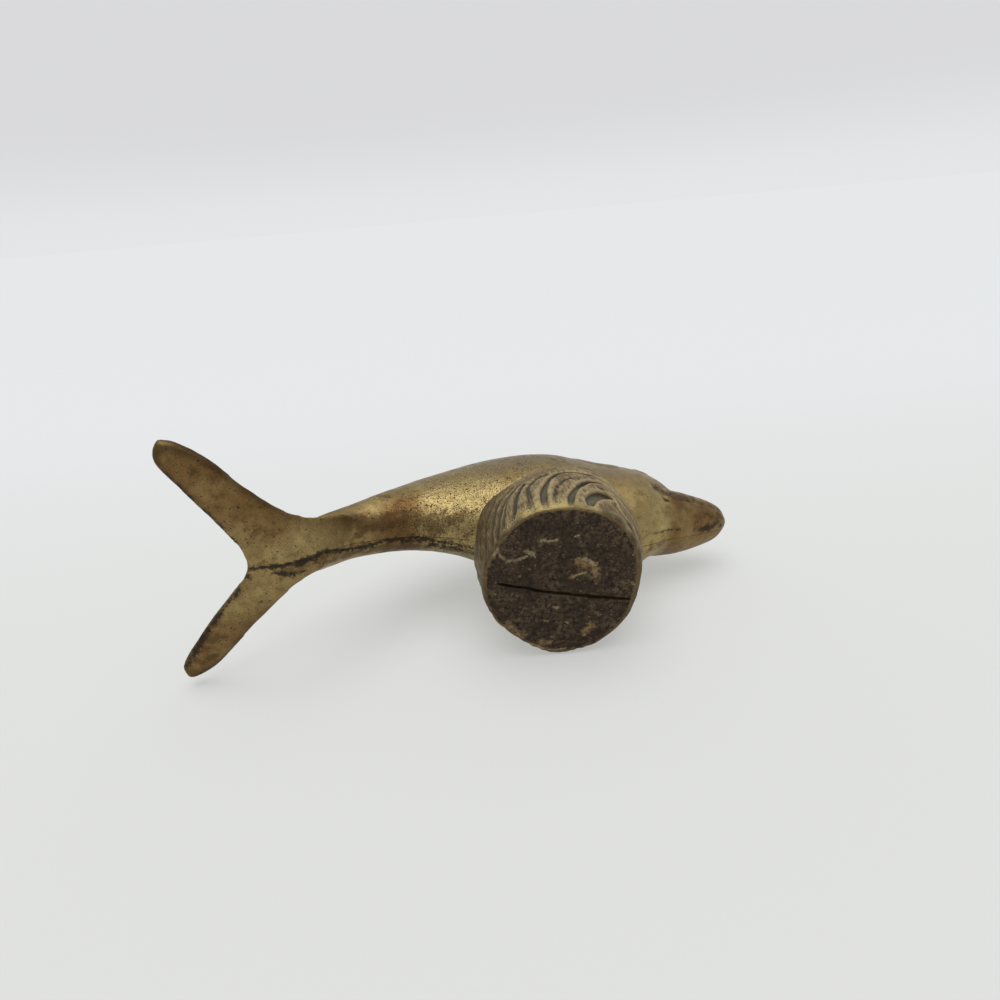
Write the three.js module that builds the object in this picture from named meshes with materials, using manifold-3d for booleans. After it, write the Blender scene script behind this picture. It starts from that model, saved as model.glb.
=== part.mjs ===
// A small brass dolphin that rides a breaking wave, about the length of a hand.
// Millimetres, +Z up, head towards +X, left side towards +Y. While it is built, zero is the
// middle of the slit in the underside. The last lines move it to the bottom centre of its box.
//
// It is two hollow castings of the dolphin and two of the wave, brazed together along the
// middle, with a back fin let into a slot over the seam, a flipper let into a shallow pocket in
// each flank and a thin felt pad with the same slit under the base.
import * as THREE from 'three';
import { ParametricGeometry } from 'three/addons/geometries/ParametricGeometry.js';
import { mergeVertices } from 'three/addons/utils/BufferGeometryUtils.js';
import Module from 'manifold-3d';

// Walls, joints and clearances
const bodyWall = 3.0;
const waveWall = 2.6;
const basePlate = 2.4;
const saddleWall = 2.2;
const brazeThickness = 0.3;
const jointGap = 0.3;

// Felt pad and the slit where the two wave castings stay apart
const padThickness = 0.8;
const padInset = 0.6;
const padWear = 0.25;
const slitWidth = 0.8;
const slitRimTail = 3.3;
const slitRimHead = 1.4;

// Body, as upright oval sections from the tail's notch to the forehead
const tailEnd = { x: -74, middle: 6.6, width: 5, depth: 2.4 };
const flukeRoot = { x: -64, middle: 15.2, width: 15.5, depth: 7.8 };
const tailStock = { x: -52, middle: 26.6, width: 15.6, depth: 16 };
const tailBase = { x: -39, middle: 35.5, width: 17.8, depth: 24.6 };
const loin = { x: -26, middle: 40.5, width: 22.8, depth: 33 };
const flank = { x: -12, middle: 41.2, width: 30.6, depth: 40.6 };
const girth = { x: 2, middle: 41.0, width: 34.8, depth: 40.4 };
const shoulder = { x: 15, middle: 41.4, width: 30, depth: 38.6 };
const neck = { x: 26, middle: 42.0, width: 28.4, depth: 34.4 };
const face = { x: 34, middle: 42.8, width: 22.8, depth: 27.4 };
const forehead = { x: 39.5, middle: 43.8, width: 14.5, depth: 18 };
const foreheadFront = { x: 42, middle: 44, width: 4, depth: 5 };
const body = [tailEnd, flukeRoot, tailStock, tailBase, loin, flank,
  girth, shoulder, neck, face, forehead, foreheadFront];

// The hollow runs between these places, counted in sections from the tail
const hollowFrom = 2.9;
const hollowTo = 9.1;

// Beak, as sections from inside the head to its blunt tip
const beakRoot = { x: 33, middle: 37.4, width: 21.4, depth: 17 };
const beakBack = { x: 38, middle: 39.4, width: 20.6, depth: 17.6 };
const beakMiddle = { x: 46.5, middle: 41.1, width: 15.8, depth: 13.8 };
const beakFront = { x: 53, middle: 41.8, width: 10.4, depth: 9 };
const beakTip = { x: 56, middle: 42, width: 3, depth: 2.4 };
const beak = [beakRoot, beakBack, beakMiddle, beakFront, beakTip];

// How far the closed end of a swept form stands past its last section, and the least half
// depth that a section keeps when it is shrunk
const endRound = 0.4;
const thinnest = 0.2;

// Tail flukes, seen from above: forward from the notch, and out to the side. They slope up
// towards the head and curl up into the tail stock. The left one is a little narrower.
const notchBehindTail = 2.5;
const notchBelowTail = 1.4;
const flukeSlope = 0.16;
const flukeCurl = 0.021;
const flukeThickness = 3.2;
const bladeSoftness = 0.75;
const flukeOverlap = 1.5;
const rightFluke = {
  tip: [-15.2, 33.1],
  trailing: [[0.6, 0], [-0.8, 5.2], [-5.8, 13.1], [-11.7, 20.9], [-16.2, 28]],
  leading: [[30, 0], [22.5, 7.6], [15, 10.9], [9.5, 14.6], [2.6, 20.7], [-5.3, 28.2]],
};
const leftFluke = {
  tip: [-15, 32.8],
  trailing: [[0.6, 0], [-1, 3.8], [-7, 12.3], [-12.6, 21.1], [-16.4, 28.8]],
  leading: [[30, 0], [21, 4], [12.8, 6.5], [7.4, 10.7], [0.2, 18.4], [-7.9, 28.4]],
};

// Wave: the rim round the base, from the head end by the left side, the tail end and the
// right side, and then the crest along the dolphin's flanks, which rises from the tail end,
// breaks over and falls to the head end
const baseRim = [[19, -2.6], [17.3, 7.4], [10.5, 15.6], [0, 18.3], [-9.7, 14.2], [-16.7, 7],
  [-19.2, -2.6], [-16.9, -12.4], [-10.5, -20.7], [0, -23.7], [10.6, -21], [17.4, -12.6]];
const baseTurn = 4.2;
const crestMiddle = 2.4;
const crestReach = 22.8;
const crestRises = [0, 4, 8, 12.2, 14.6, 15.7, 8, 1.6, 0];
const crestLip = 1.8;
const waveBulge = 1.2;

// Grooves carved in each flank of the wave, from the tail end to the head end. Each follows
// points given as degrees from the head end, share of the way up from the rim to the crest,
// and half width. The first ones rise from the rim, and the long ones bend over towards the
// head like the curl of the water.
const grooveEdge = 0.35;
const grooves = [
  { depth: 0.5, points: [[165, 0.1, 0.3], [161, 0.34, 0.3], [154, 0.62, 0.2], [144, 0.8, 0.1]] },
  { depth: 0.6, points: [[154, 0.05, 0.3], [149, 0.34, 0.3], [140, 0.66, 0.3], [127, 0.81, 0.1]] },
  { depth: 0.6, points: [[147, 0.05, 0.3], [143, 0.22, 0.3], [135, 0.53, 0.3], [123, 0.74, 0.1]] },
  { depth: 0.7, points: [[131, 0.05, 0.3], [127, 0.22, 0.4], [123, 0.55, 0.3], [118, 0.69, 0.1]] },
  { depth: 0.7, points: [[116.5, 0.06, 0.3], [115.8, 0.3, 0.5], [115.5, 0.52, 0.3],
    [110, 0.69, 0.2], [103, 0.75, 0.1]] },
  { depth: 1.5, points: [[107, 0.03, 0.5], [106.2, 0.18, 1.1], [104.8, 0.35, 1],
    [103.2, 0.47, 0.7], [101, 0.61, 0.3]] },
  { depth: 0.8, points: [[101, 0.6, 0.3], [93, 0.7, 0.2], [78, 0.7, 0.2], [63, 0.71, 0.2],
    [44, 0.83, 0.2], [26, 0.92, 0.1]] },
  { depth: 0.6, points: [[100.5, 0.04, 0.1], [100, 0.24, 0.3], [96, 0.42, 0.3], [89, 0.53, 0.1]] },
  { depth: 1.3, points: [[91, 0.03, 0.4], [89.8, 0.14, 0.8], [86.8, 0.27, 0.6], [83, 0.39, 0.4]] },
  { depth: 1, points: [[83.5, 0.38, 0.4], [72, 0.54, 0.4], [58, 0.61, 0.3], [45, 0.72, 0.2],
    [28, 0.83, 0.1]] },
  { depth: 1.4, points: [[79, 0.08, 0.4], [76, 0.17, 0.9], [70, 0.25, 0.9], [62, 0.34, 0.4]] },
  { depth: 0.6, points: [[57, 0.23, 0.2], [47, 0.16, 0.4], [33, 0.12, 0.4], [20, 0.18, 0.2]] },
  { depth: 0.7, points: [[65, 0.05, 0.2], [58, 0.04, 0.3], [48, 0.04, 0.3], [36, 0.04, 0.2]] },
];

// Back fin, drawn forward from the middle of its seat and up from the skin. Its tang is let
// into the wall of the back, as deep as this all along.
const finMiddle = -2;
const finThickness = 4.2;
const finTang = 1.6;
const finLeading = [[12, -4], [10.5, 0.6], [4.2, 5], [-3.5, 9.4], [-8.8, 11.8]];
const finTrailing = [[-11.4, -4], [-10.2, 0.4], [-9.6, 3.4], [-10, 7], [-11.5, 10.8]];
const finTip = [-12.4, 12.4];

// Flippers, laid back along the flanks, each let into a pocket and a little proud of the skin.
// The outline is drawn forward from the root, and up from the middle of the body there.
const flipperRoot = 22.5;
const flipperProud = 0.45;
const flipperDepth = 0.9;
const flipperOutline = [[-0.6, 4], [-4.8, 3.8], [-10.1, 5.7], [-15.5, 10.1],
  [-10.2, 11.7], [-3.6, 11.6], [1.1, 8.6]];

// How finely the round forms are divided
const bodySides = 28;
const bodyRings = 38;
const waveSides = 60;
const waveRings = 12;
const grooveSides = 8;
const grooveRings = 10;
const faceStep = 0.01;
const hollowSides = 20;
const waveHollowRings = 6;
const padRows = 3;
const bladeSides = 10;
const bladeRings = 14;
const flipperSides = 28;
const searchSteps = 30;

const wasm = await Module();
wasm.setup();

// Turns a closed geometry into a solid, with its faces pointing out
function solidFrom(geometry) {
  const bare = new THREE.BufferGeometry();
  bare.setAttribute('position', geometry.getAttribute('position'));
  bare.setIndex(geometry.getIndex());
  const merged = mergeVertices(bare, 1e-5);
  const points = merged.getAttribute('position');
  const index = merged.getIndex();
  const triangles = [];
  let volume = 0;
  const corners = [new THREE.Vector3(), new THREE.Vector3(), new THREE.Vector3()];
  for (let i = 0; i < index.count; i += 3) {
    const [a, b, c] = [index.getX(i), index.getX(i + 1), index.getX(i + 2)];
    if (a === b || b === c || c === a) continue;
    triangles.push([a, b, c]);
    [a, b, c].forEach((vertex, k) => corners[k].fromBufferAttribute(points, vertex));
    volume += corners[0].dot(corners[1].clone().cross(corners[2])) / 6;
  }
  const ordered = volume > 0 ? triangles : triangles.map(([a, b, c]) => [a, c, b]);
  return new wasm.Manifold(new wasm.Mesh({
    numProp: 3,
    vertProperties: Float32Array.from(points.array),
    triVerts: Uint32Array.from(ordered.flat()),
  }));
}

function geometryFrom(solid) {
  const mesh = solid.getMesh();
  const geometry = new THREE.BufferGeometry();
  geometry.setAttribute('position', new THREE.BufferAttribute(mesh.vertProperties, 3));
  geometry.setIndex(new THREE.BufferAttribute(mesh.triVerts, 1));
  geometry.computeVertexNormals();
  return geometry;
}

function joined(solids) {
  return solids.reduce((whole, solid) => whole.add(solid));
}

function boxSolid(low, high) {
  const box = new THREE.BoxGeometry(high[0] - low[0], high[1] - low[1], high[2] - low[2]);
  box.translate((low[0] + high[0]) / 2, (low[1] + high[1]) / 2, (low[2] + high[2]) / 2);
  return solidFrom(box);
}

// A closed surface made of rings. ringPoint(angle, row) gives a point, and the first and last
// rows close it with the single points first and last.
function ringedSolid(sides, rows, first, last, ringPoint) {
  const surface = (u, v, target) => {
    const row = Math.round(v * rows);
    if (row === 0) return target.copy(first);
    if (row === rows) return target.copy(last);
    const side = Math.round(u * sides) % sides;
    return target.copy(ringPoint(side / sides * 2 * Math.PI, row));
  };
  return solidFrom(new ParametricGeometry(surface, sides, rows));
}

// Smooth curves through a row of sections
function sectionCurves(sections) {
  const along = new THREE.SplineCurve(sections.map((s) => new THREE.Vector2(s.x, s.middle)));
  const size = new THREE.SplineCurve(sections.map((s) => new THREE.Vector2(s.width, s.depth)));
  return (t) => {
    const place = along.getPoint(t);
    const oval = size.getPoint(t);
    return { x: place.x, middle: place.y, halfWidth: oval.x / 2, halfDepth: oval.y / 2 };
  };
}

const bodyAt = sectionCurves(body);
const beakAt = sectionCurves(beak);

// The body's section at a given distance along X
function bodySectionAtX(x) {
  let low = 0;
  let high = 1;
  for (let step = 0; step < searchSteps; step += 1) {
    const t = (low + high) / 2;
    if (bodyAt(t).x < x) low = t;
    else high = t;
  }
  return bodyAt((low + high) / 2);
}

// A swept oval between two places on a row of sections, grown or shrunk by offset
function sweptOval(sectionAt, from, to, offset, sides, rings) {
  const section = (t) => {
    const s = sectionAt(t);
    const grown = (half) => Math.max(thinnest, half + offset);
    return { ...s, halfWidth: grown(s.halfWidth), halfDepth: grown(s.halfDepth) };
  };
  const end = (t, way) => {
    const s = sectionAt(t);
    return new THREE.Vector3(s.x + way * Math.max(offset, endRound), 0, s.middle);
  };
  return ringedSolid(sides, rings, end(from, -1), end(to, 1), (angle, row) => {
    const s = section(from + (to - from) * (row - 1) / (rings - 2));
    const y = s.halfWidth * Math.cos(angle);
    return new THREE.Vector3(s.x, y, s.middle + s.halfDepth * Math.sin(angle));
  });
}

function bodySolid(offset) {
  const trunk = sweptOval(bodyAt, 0, 1, offset, bodySides, bodyRings);
  const snout = sweptOval(beakAt, 0, 1, offset, bodySides / 2, bodyRings / 2);
  return trunk.add(snout);
}

// The inside of the body from the tail stock to the face, this deep under the skin
function bodyCore(depth) {
  const stations = body.length - 1;
  const from = hollowFrom / stations;
  const to = hollowTo / stations;
  return sweptOval(bodyAt, from, to, -depth, hollowSides, hollowSides);
}

// A thin blade such as a fin: lens sections between a trailing and a leading edge, in the
// plane of forward (x) and out (y), with its thickness along z
function bladeSolid(trailingPoints, leadingPoints, tip, thickness, growth, lift = () => 0) {
  const edge = (points) => new THREE.SplineCurve(
    [...points, tip].map(([x, y]) => new THREE.Vector2(x, y)));
  const trailing = edge(trailingPoints);
  const leading = edge(leadingPoints);
  const middle = (t) => trailing.getPoint(t).lerp(leading.getPoint(t), 0.5);
  const root = middle(0);
  const end = middle(1);
  const first = new THREE.Vector3(root.x, root.y - growth, lift(root.x));
  const last = new THREE.Vector3(end.x, end.y + growth, lift(end.x));
  const rows = bladeRings + 1;
  return ringedSolid(bladeSides, rows, first, last, (angle, row) => {
    const t = (row - 1) / bladeRings;
    const back = trailing.getPoint(t);
    const front = leading.getPoint(t);
    const across = front.clone().sub(back);
    const half = across.length() / 2;
    const outward = across.normalize();
    const centre = back.lerp(front, 0.5);
    const reach = (half + growth) * Math.cos(angle);
    const round = Math.sign(Math.sin(angle)) * Math.abs(Math.sin(angle)) ** bladeSoftness;
    const rise = (Math.min(thickness / 2, half) + growth) * round;
    const place = centre.addScaledVector(outward, reach);
    const drop = row === 1 ? growth : 0;
    return new THREE.Vector3(place.x, place.y - drop, lift(place.x) + rise);
  });
}

// One fluke, as far as a little past the middle, in place at the notch
function flukeSolid(side) {
  const fluke = side < 0 ? rightFluke : leftFluke;
  const rooted = ([x, y]) => [x, y === 0 ? -flukeOverlap : y];
  const rise = (x) => flukeSlope * x + flukeCurl * Math.max(0, x) ** 2;
  const blade = bladeSolid(fluke.trailing.map(rooted), fluke.leading.map(rooted), fluke.tip,
    flukeThickness, 0, rise);
  const sided = side < 0 ? blade.mirror([0, 1, 0]) : blade;
  return sided.translate([tailEnd.x - notchBehindTail, 0, tailEnd.middle - notchBelowTail]);
}

// The back fin. The slot for it is the same blade grown by the joint's gap.
function finSolid(growth) {
  const seat = bodySectionAtX(finMiddle);
  const blade = bladeSolid(finTrailing, finLeading, finTip, finThickness, growth);
  return blade.rotate([90, 0, 0]).translate([finMiddle, 0, seat.middle + seat.halfDepth])
    .subtract(bodyCore(finTang + growth));
}

// The wave's rim, drawn in by inset. The angle runs from the head end to the left side.
const rimCurve = new THREE.CatmullRomCurve3(
  baseRim.map(([x, y]) => new THREE.Vector3(x, y, 0)), true, 'catmullrom');
function rimPoint(angle, inset, height) {
  const turn = angle / (2 * Math.PI);
  const along = rimCurve.getTangent(turn - Math.floor(turn));
  const outward = new THREE.Vector3(along.y, -along.x, 0);
  const place = rimCurve.getPoint(turn - Math.floor(turn)).addScaledVector(outward, -inset);
  return place.setZ(height);
}

// The crest, a line along the dolphin's skin at the same angle, stood off by lip
const crestRise = new THREE.SplineCurve(crestRises.map((rise, i) => new THREE.Vector2(i, rise)));
function crestPoint(angle, lip) {
  const x = crestMiddle + crestReach * Math.cos(angle);
  const s = bodySectionAtX(x);
  const headward = 1 - Math.acos(Math.cos(angle)) / Math.PI;
  const z = s.middle - s.halfDepth + Math.max(0, crestRise.getPoint(headward).y);
  const share = (z - s.middle) / s.halfDepth;
  const y = Math.sign(Math.sin(angle)) * s.halfWidth * Math.sqrt(Math.max(0, 1 - share * share));
  const skin = new THREE.Vector3(0, y / s.halfWidth ** 2, (z - s.middle) / s.halfDepth ** 2);
  return new THREE.Vector3(x, y, z).addScaledVector(skin.normalize(), lip);
}

// The wave's outer face before it is carved, at a share of the way up from rim to crest
function wavePoint(angle, share) {
  const swell = waveBulge * Math.abs(Math.sin(angle)) * 4 * share * (1 - share);
  const out = new THREE.Vector3(Math.cos(angle), Math.sin(angle), 0);
  const rim = rimPoint(angle, 0, padThickness);
  return rim.lerp(crestPoint(angle, crestLip), share).addScaledVector(out, swell);
}

// What a groove takes away: an oval that follows its line along the wave's face
function grooveSolid(groove, side) {
  const line = new THREE.CatmullRomCurve3(
    groove.points.map((point) => new THREE.Vector3(...point)), false, 'catmullrom');
  const onFace = (place) => wavePoint(side * THREE.MathUtils.degToRad(place.x), place.y);
  const section = (t) => {
    const place = line.getPoint(t);
    const centre = onFace(place);
    const ahead = onFace(line.getPoint(Math.min(1, t + faceStep)));
    const behind = onFace(line.getPoint(Math.max(0, t - faceStep)));
    const along = ahead.sub(behind).normalize();
    const angle = side * THREE.MathUtils.degToRad(place.x);
    const round = wavePoint(angle + faceStep, place.y).sub(wavePoint(angle - faceStep, place.y));
    const upward = wavePoint(angle, place.y + faceStep).sub(wavePoint(angle, place.y - faceStep));
    const out = round.cross(upward).normalize();
    return { centre, along, out, across: along.clone().cross(out), half: place.z + grooveEdge };
  };
  const end = (t, way) => {
    const { centre, along } = section(t);
    return centre.addScaledVector(along, way * grooveEdge);
  };
  const rows = grooveRings + 1;
  return ringedSolid(grooveSides, rows, end(0, -1), end(1, 1), (angle, row) => {
    const { centre, out, across, half } = section((row - 1) / (grooveRings - 1));
    return centre.addScaledVector(across, half * Math.cos(angle))
      .addScaledVector(out, groove.depth * Math.sin(angle));
  });
}

function waveSolid() {
  const rows = waveRings + 1;
  const first = new THREE.Vector3(0, 0, padThickness);
  const last = new THREE.Vector3(crestMiddle, 0, girth.middle);
  const whole = ringedSolid(waveSides, rows, first, last,
    (angle, row) => wavePoint(angle, (row - 1) / (waveRings - 1)));
  const taken = grooves.flatMap((groove) => [grooveSolid(groove, -1), grooveSolid(groove, 1)]);
  return whole.subtract(joined(taken));
}

function waveHollow() {
  const floor = padThickness + basePlate;
  const first = new THREE.Vector3(0, 0, floor);
  const last = new THREE.Vector3(crestMiddle, 0, girth.middle);
  const rows = waveHollowRings + 1;
  const inner = ringedSolid(hollowSides * 2, rows, first, last, (angle, row) => {
    const share = (row - 1) / (waveHollowRings - 1);
    const rim = rimPoint(angle, waveWall, floor);
    return rim.lerp(crestPoint(angle, -waveWall / 2), share);
  });
  return inner.subtract(bodySolid(jointGap + saddleWall));
}

// The part of the flank's skin inside the flipper's outline, grown by growth, from a depth
// under the skin to a height over it
const flipperCurve = new THREE.CatmullRomCurve3(
  flipperOutline.map(([forward, up]) => new THREE.Vector3(forward, up, 0)), true, 'catmullrom');
function flankPatch(side, growth, proud, depth) {
  const seat = bodySectionAtX(flipperRoot);
  const corners = Array.from({ length: flipperSides }, (_, i) => {
    const place = flipperCurve.getPoint(i / flipperSides);
    const along = flipperCurve.getTangent(i / flipperSides);
    return new THREE.Vector2(flipperRoot + place.x - along.y * growth,
      seat.middle + place.y + along.x * growth);
  });
  const prism = new THREE.ExtrudeGeometry(new THREE.Shape(corners),
    { depth: girth.width, bevelEnabled: false });
  prism.rotateX(Math.PI / 2);
  const sided = side < 0 ? solidFrom(prism) : solidFrom(prism).mirror([0, 1, 0]);
  return bodySolid(proud).subtract(bodySolid(-depth)).intersect(sided);
}

const flipperSolid = (side) => flankPatch(side, 0, flipperProud, flipperDepth);
const flipperPocket = (side) => flankPatch(side, jointGap, flipperProud + jointGap,
  flipperDepth + jointGap);

// Everything on one side of the middle, or the thin film in the middle
const far = 200;
const halfFilm = brazeThickness / 2;
const rightOf = boxSolid([-far, -far, -far], [far, -halfFilm, far]);
const leftOf = boxSolid([-far, halfFilm, -far], [far, far, far]);
const filmOf = boxSolid([-far, -halfFilm, -far], [far, halfFilm, far]);
const turned = (solid) => solid.rotate([0, 0, baseTurn]);
const slit = boxSolid([slitRimTail + rimPoint(Math.PI, 0, 0).x, -slitWidth / 2, -1],
  [rimPoint(0, 0, 0).x - slitRimHead, slitWidth / 2, padThickness + basePlate + jointGap]);

const hollow = bodyCore(bodyWall);
const emptied = joined([hollow, finSolid(jointGap), flipperPocket(-1), flipperPocket(1)]);
const shell = joined([bodySolid(0), flukeSolid(-1), flukeSolid(1)]).subtract(emptied);
const rightShell = joined([bodySolid(0), flukeSolid(-1)]).subtract(emptied);
const leftShell = joined([bodySolid(0), flukeSolid(1)]).subtract(emptied);
const wave = waveSolid().subtract(bodySolid(jointGap)).subtract(waveHollow()).subtract(turned(slit));

function padSolid() {
  const under = new THREE.Vector3();
  const over = new THREE.Vector3(0, 0, padThickness);
  const pad = ringedSolid(waveSides, padRows, under, over, (angle, row) => {
    const wear = padWear * (Math.sin(3 * angle) + 0.7 * Math.sin(7 * angle));
    return rimPoint(angle, padInset + wear, row === 1 ? 0 : padThickness);
  });
  return pad.subtract(turned(slit));
}

// Materials, one for each piece
function brass(color, roughness) {
  return new THREE.MeshStandardMaterial({ color, roughness, metalness: 1 });
}

function felt(color) {
  return new THREE.MeshStandardMaterial({ color, roughness: 0.95, metalness: 0 });
}

const pieces = [
  ['right_dolphin_casting', rightShell.intersect(rightOf), brass(0x9a7d45, 0.38)],
  ['left_dolphin_casting', leftShell.intersect(leftOf), brass(0x94773f, 0.4)],
  ['dolphin_seam_braze', shell.intersect(filmOf), brass(0x4a3a22, 0.6)],
  ['right_wave_casting', wave.intersect(turned(rightOf)), brass(0x776748, 0.6)],
  ['left_wave_casting', wave.intersect(turned(leftOf)), brass(0x756546, 0.6)],
  ['wave_seam_braze', wave.intersect(turned(filmOf)), brass(0x4a3a22, 0.6)],
  ['back_fin', finSolid(0), brass(0x8d7140, 0.42)],
  ['right_flipper', flipperSolid(-1), brass(0x8a6f40, 0.45)],
  ['left_flipper', flipperSolid(1), brass(0x8a6f40, 0.45)],
  ['base_pad', padSolid(), felt(0x3a2b20)],
];

const figurine = new THREE.Group();
for (const [name, solid, material] of pieces) {
  const mesh = new THREE.Mesh(geometryFrom(solid), material);
  mesh.name = name;
  figurine.add(mesh);
}

// Zero moves to the middle of the figurine's box, at the height of the surface it stands on
const box = new THREE.Box3().setFromObject(figurine, true);
const centre = box.getCenter(new THREE.Vector3());
figurine.position.set(-centre.x, -centre.y, -box.min.z);

const group = new THREE.Group();
group.add(figurine);
export default group;
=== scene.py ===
import math
import bpy
import bmesh
import numpy as np
from mathutils import Matrix, Vector


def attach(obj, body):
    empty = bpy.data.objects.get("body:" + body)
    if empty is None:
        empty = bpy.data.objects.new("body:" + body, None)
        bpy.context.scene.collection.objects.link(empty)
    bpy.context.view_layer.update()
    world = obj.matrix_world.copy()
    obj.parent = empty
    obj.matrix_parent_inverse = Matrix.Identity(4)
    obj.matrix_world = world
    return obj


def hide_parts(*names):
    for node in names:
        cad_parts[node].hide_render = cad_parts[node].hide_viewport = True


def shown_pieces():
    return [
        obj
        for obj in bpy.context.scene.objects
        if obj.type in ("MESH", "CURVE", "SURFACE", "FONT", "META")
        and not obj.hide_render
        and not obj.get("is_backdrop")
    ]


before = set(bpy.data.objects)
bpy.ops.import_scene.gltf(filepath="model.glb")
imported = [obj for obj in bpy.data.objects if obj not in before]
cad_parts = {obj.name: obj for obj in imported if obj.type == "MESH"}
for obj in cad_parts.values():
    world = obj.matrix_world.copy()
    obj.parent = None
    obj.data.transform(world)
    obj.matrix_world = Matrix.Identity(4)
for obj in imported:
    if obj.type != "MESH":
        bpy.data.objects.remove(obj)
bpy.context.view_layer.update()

PART_ZERO = Vector((18.219, 0.150, 0.0))
MILLIMETRE = 0.001
SHARP_ANGLE = math.radians(58)

# Body and beak as upright oval sections: x, middle height, width, depth
BODY = np.array([(-74, 6.6, 5, 2.4), (-64, 15.2, 15.5, 7.8), (-52, 26.6, 15.6, 16),
                 (-39, 35.5, 17.8, 24.6), (-26, 40.5, 22.8, 33), (-12, 41.2, 30.6, 40.6),
                 (2, 41, 34.8, 40.4), (15, 41.4, 30, 38.6), (26, 42, 28.4, 34.4),
                 (34, 42.8, 22.8, 27.4), (39.5, 43.8, 14.5, 18), (42, 44, 4, 5)], float)
BEAK = np.array([(33, 37.4, 21.4, 17), (38, 39.4, 20.6, 17.6), (46.5, 41.1, 15.8, 13.8),
                 (53, 41.8, 10.4, 9), (56, 42, 3, 2.4)], float)

# Tail flukes from above, forward from the notch and out to the side
NOTCH = np.array([-76.5, 0, 5.2])
FLUKE_THICKNESS, FLUKE_SLOPE, FLUKE_CURL = 3.2, 0.16, 0.021
RIGHT_FLUKE = dict(tip=(-15.2, 33.1),
                   trailing=[(0.6, -1.5), (-0.8, 5.2), (-5.8, 13.1), (-11.7, 20.9), (-16.2, 28)],
                   leading=[(30, -1.5), (22.9, 8.9), (15.2, 11.3), (9.3, 14.5), (2.5, 20.7),
                            (-5.2, 28), (-10.9, 31.7)])
LEFT_FLUKE = dict(tip=(-15, 32.8),
                  trailing=[(0.6, -1.5), (-1, 3.8), (-7, 12.3), (-12.6, 21.1), (-16.4, 28.8)],
                  leading=[(30, -1.5), (21, 4), (12.8, 6.5), (7.4, 10.7), (0.2, 18.4),
                           (-7.9, 28.4)])

# Wave: rim round the base, and how high the crest stands on the body from tail end to head end
RIM = np.array([(19, -2.6), (17.3, 7.4), (10.5, 15.6), (0, 18.3), (-9.7, 14.2), (-16.7, 7),
                (-19.2, -2.6), (-16.9, -12.4), (-10.5, -20.7), (0, -23.7), (10.6, -21),
                (17.4, -12.6)], float)
CREST_RISES = np.array([0, 4, 8, 12.2, 14.6, 15.7, 8, 1.6, 0], float)[:, None]
CREST_MIDDLE, CREST_REACH, CREST_LIP, WAVE_BULGE = 2.4, 22.8, 1.8, 1.2
BASE_TURN = math.radians(4.6)
PAD_THICKNESS, PAD_INSET = 0.8, 0.5
# Half the thickness of the joints between castings, and of the slit, which stops short of the rim
FILM = 0.15
SLIT_HALF = 0.45
SLIT_PLACE = Vector((0, -0.7, 0))
SLIT_SHORT_AT_TAIL, SLIT_SHORT_AT_HEAD = 3.3, 1.4
# A small step along a curve, and the least length that counts
STEP, TINY = 1e-3, 1e-9


# ---- Curves ----

def between(p0, p1, p2, p3, w):
    """A cubic from p1 to p2, with p0 before it and p3 after it."""
    v0, v1 = (p2 - p0) / 2, (p3 - p1) / 2
    return (2 * p1 - 2 * p2 + v0 + v1) * w**3 + (3 * p2 - 3 * p1 - 2 * v0 - v1) * w**2 + v0 * w + p1


def through(points, t):
    """A smooth curve through the points, t from 0 at the first to 1 at the last."""
    points = np.asarray(points, float)
    last = len(points) - 1
    q = np.clip(np.asarray(t, float), 0, 1) * last
    i = np.clip(q.astype(int), 0, last - 1)
    return between(points[np.maximum(i - 1, 0)], points[i], points[i + 1],
                   points[np.minimum(i + 2, last)], (q - i)[..., None])


def round_trip(points, t):
    """The same kind of curve, closed."""
    n = len(points)
    q = (np.asarray(t, float) % 1) * n
    i = q.astype(int) % n
    return between(points[(i - 1) % n], points[i], points[(i + 1) % n], points[(i + 2) % n],
                   (q - np.floor(q))[..., None])


def smooth_step(low, high, value):
    """0 at low and 1 at high, easing at both. High may be the lower number."""
    w = np.clip((value - low) / (high - low), 0, 1)
    return w * w * (3 - 2 * w)


def bell(offset, width):
    """1 where the offset is 0, fading out over about two widths."""
    return np.exp(-(offset / width) ** 2)


def unit(rows):
    """Each row made 1 long."""
    return rows / np.maximum(np.linalg.norm(rows, axis=-1, keepdims=True), TINY)


def wobble(places, size, seed):
    """Soft, even unevenness, mostly between -1 and 1, whose bumps are about size across."""
    waves = 9
    rng = np.random.default_rng(seed)
    total = np.zeros(len(places))
    for _ in range(waves):
        way = rng.normal(size=3)
        way *= 2 * math.pi / size / np.linalg.norm(way) * rng.uniform(0.6, 1.5)
        total += np.sin(places @ way + rng.uniform(0, 6.28))
    return total / (waves / 2)


BODY_STEPS = through(BODY, np.linspace(0, 1, 3001))


def body_at(x):
    """Middle height, half width and half depth of the body at x."""
    m, w, d = (np.interp(x, BODY_STEPS[:, 0], BODY_STEPS[:, k]) for k in (1, 2, 3))
    return m, w / 2, d / 2


def rim(angle, inset, height):
    """The edge of the base, drawn in by inset. The angle is 0 at the head end."""
    t = np.asarray(angle) / (2 * math.pi)
    place = round_trip(RIM, t)
    way = unit(round_trip(RIM, t + STEP) - round_trip(RIM, t - STEP))
    x = place[..., 0] - way[..., 1] * inset
    y = place[..., 1] + way[..., 0] * inset
    return np.stack([x, y, np.broadcast_to(height, x.shape)], -1)


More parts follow.
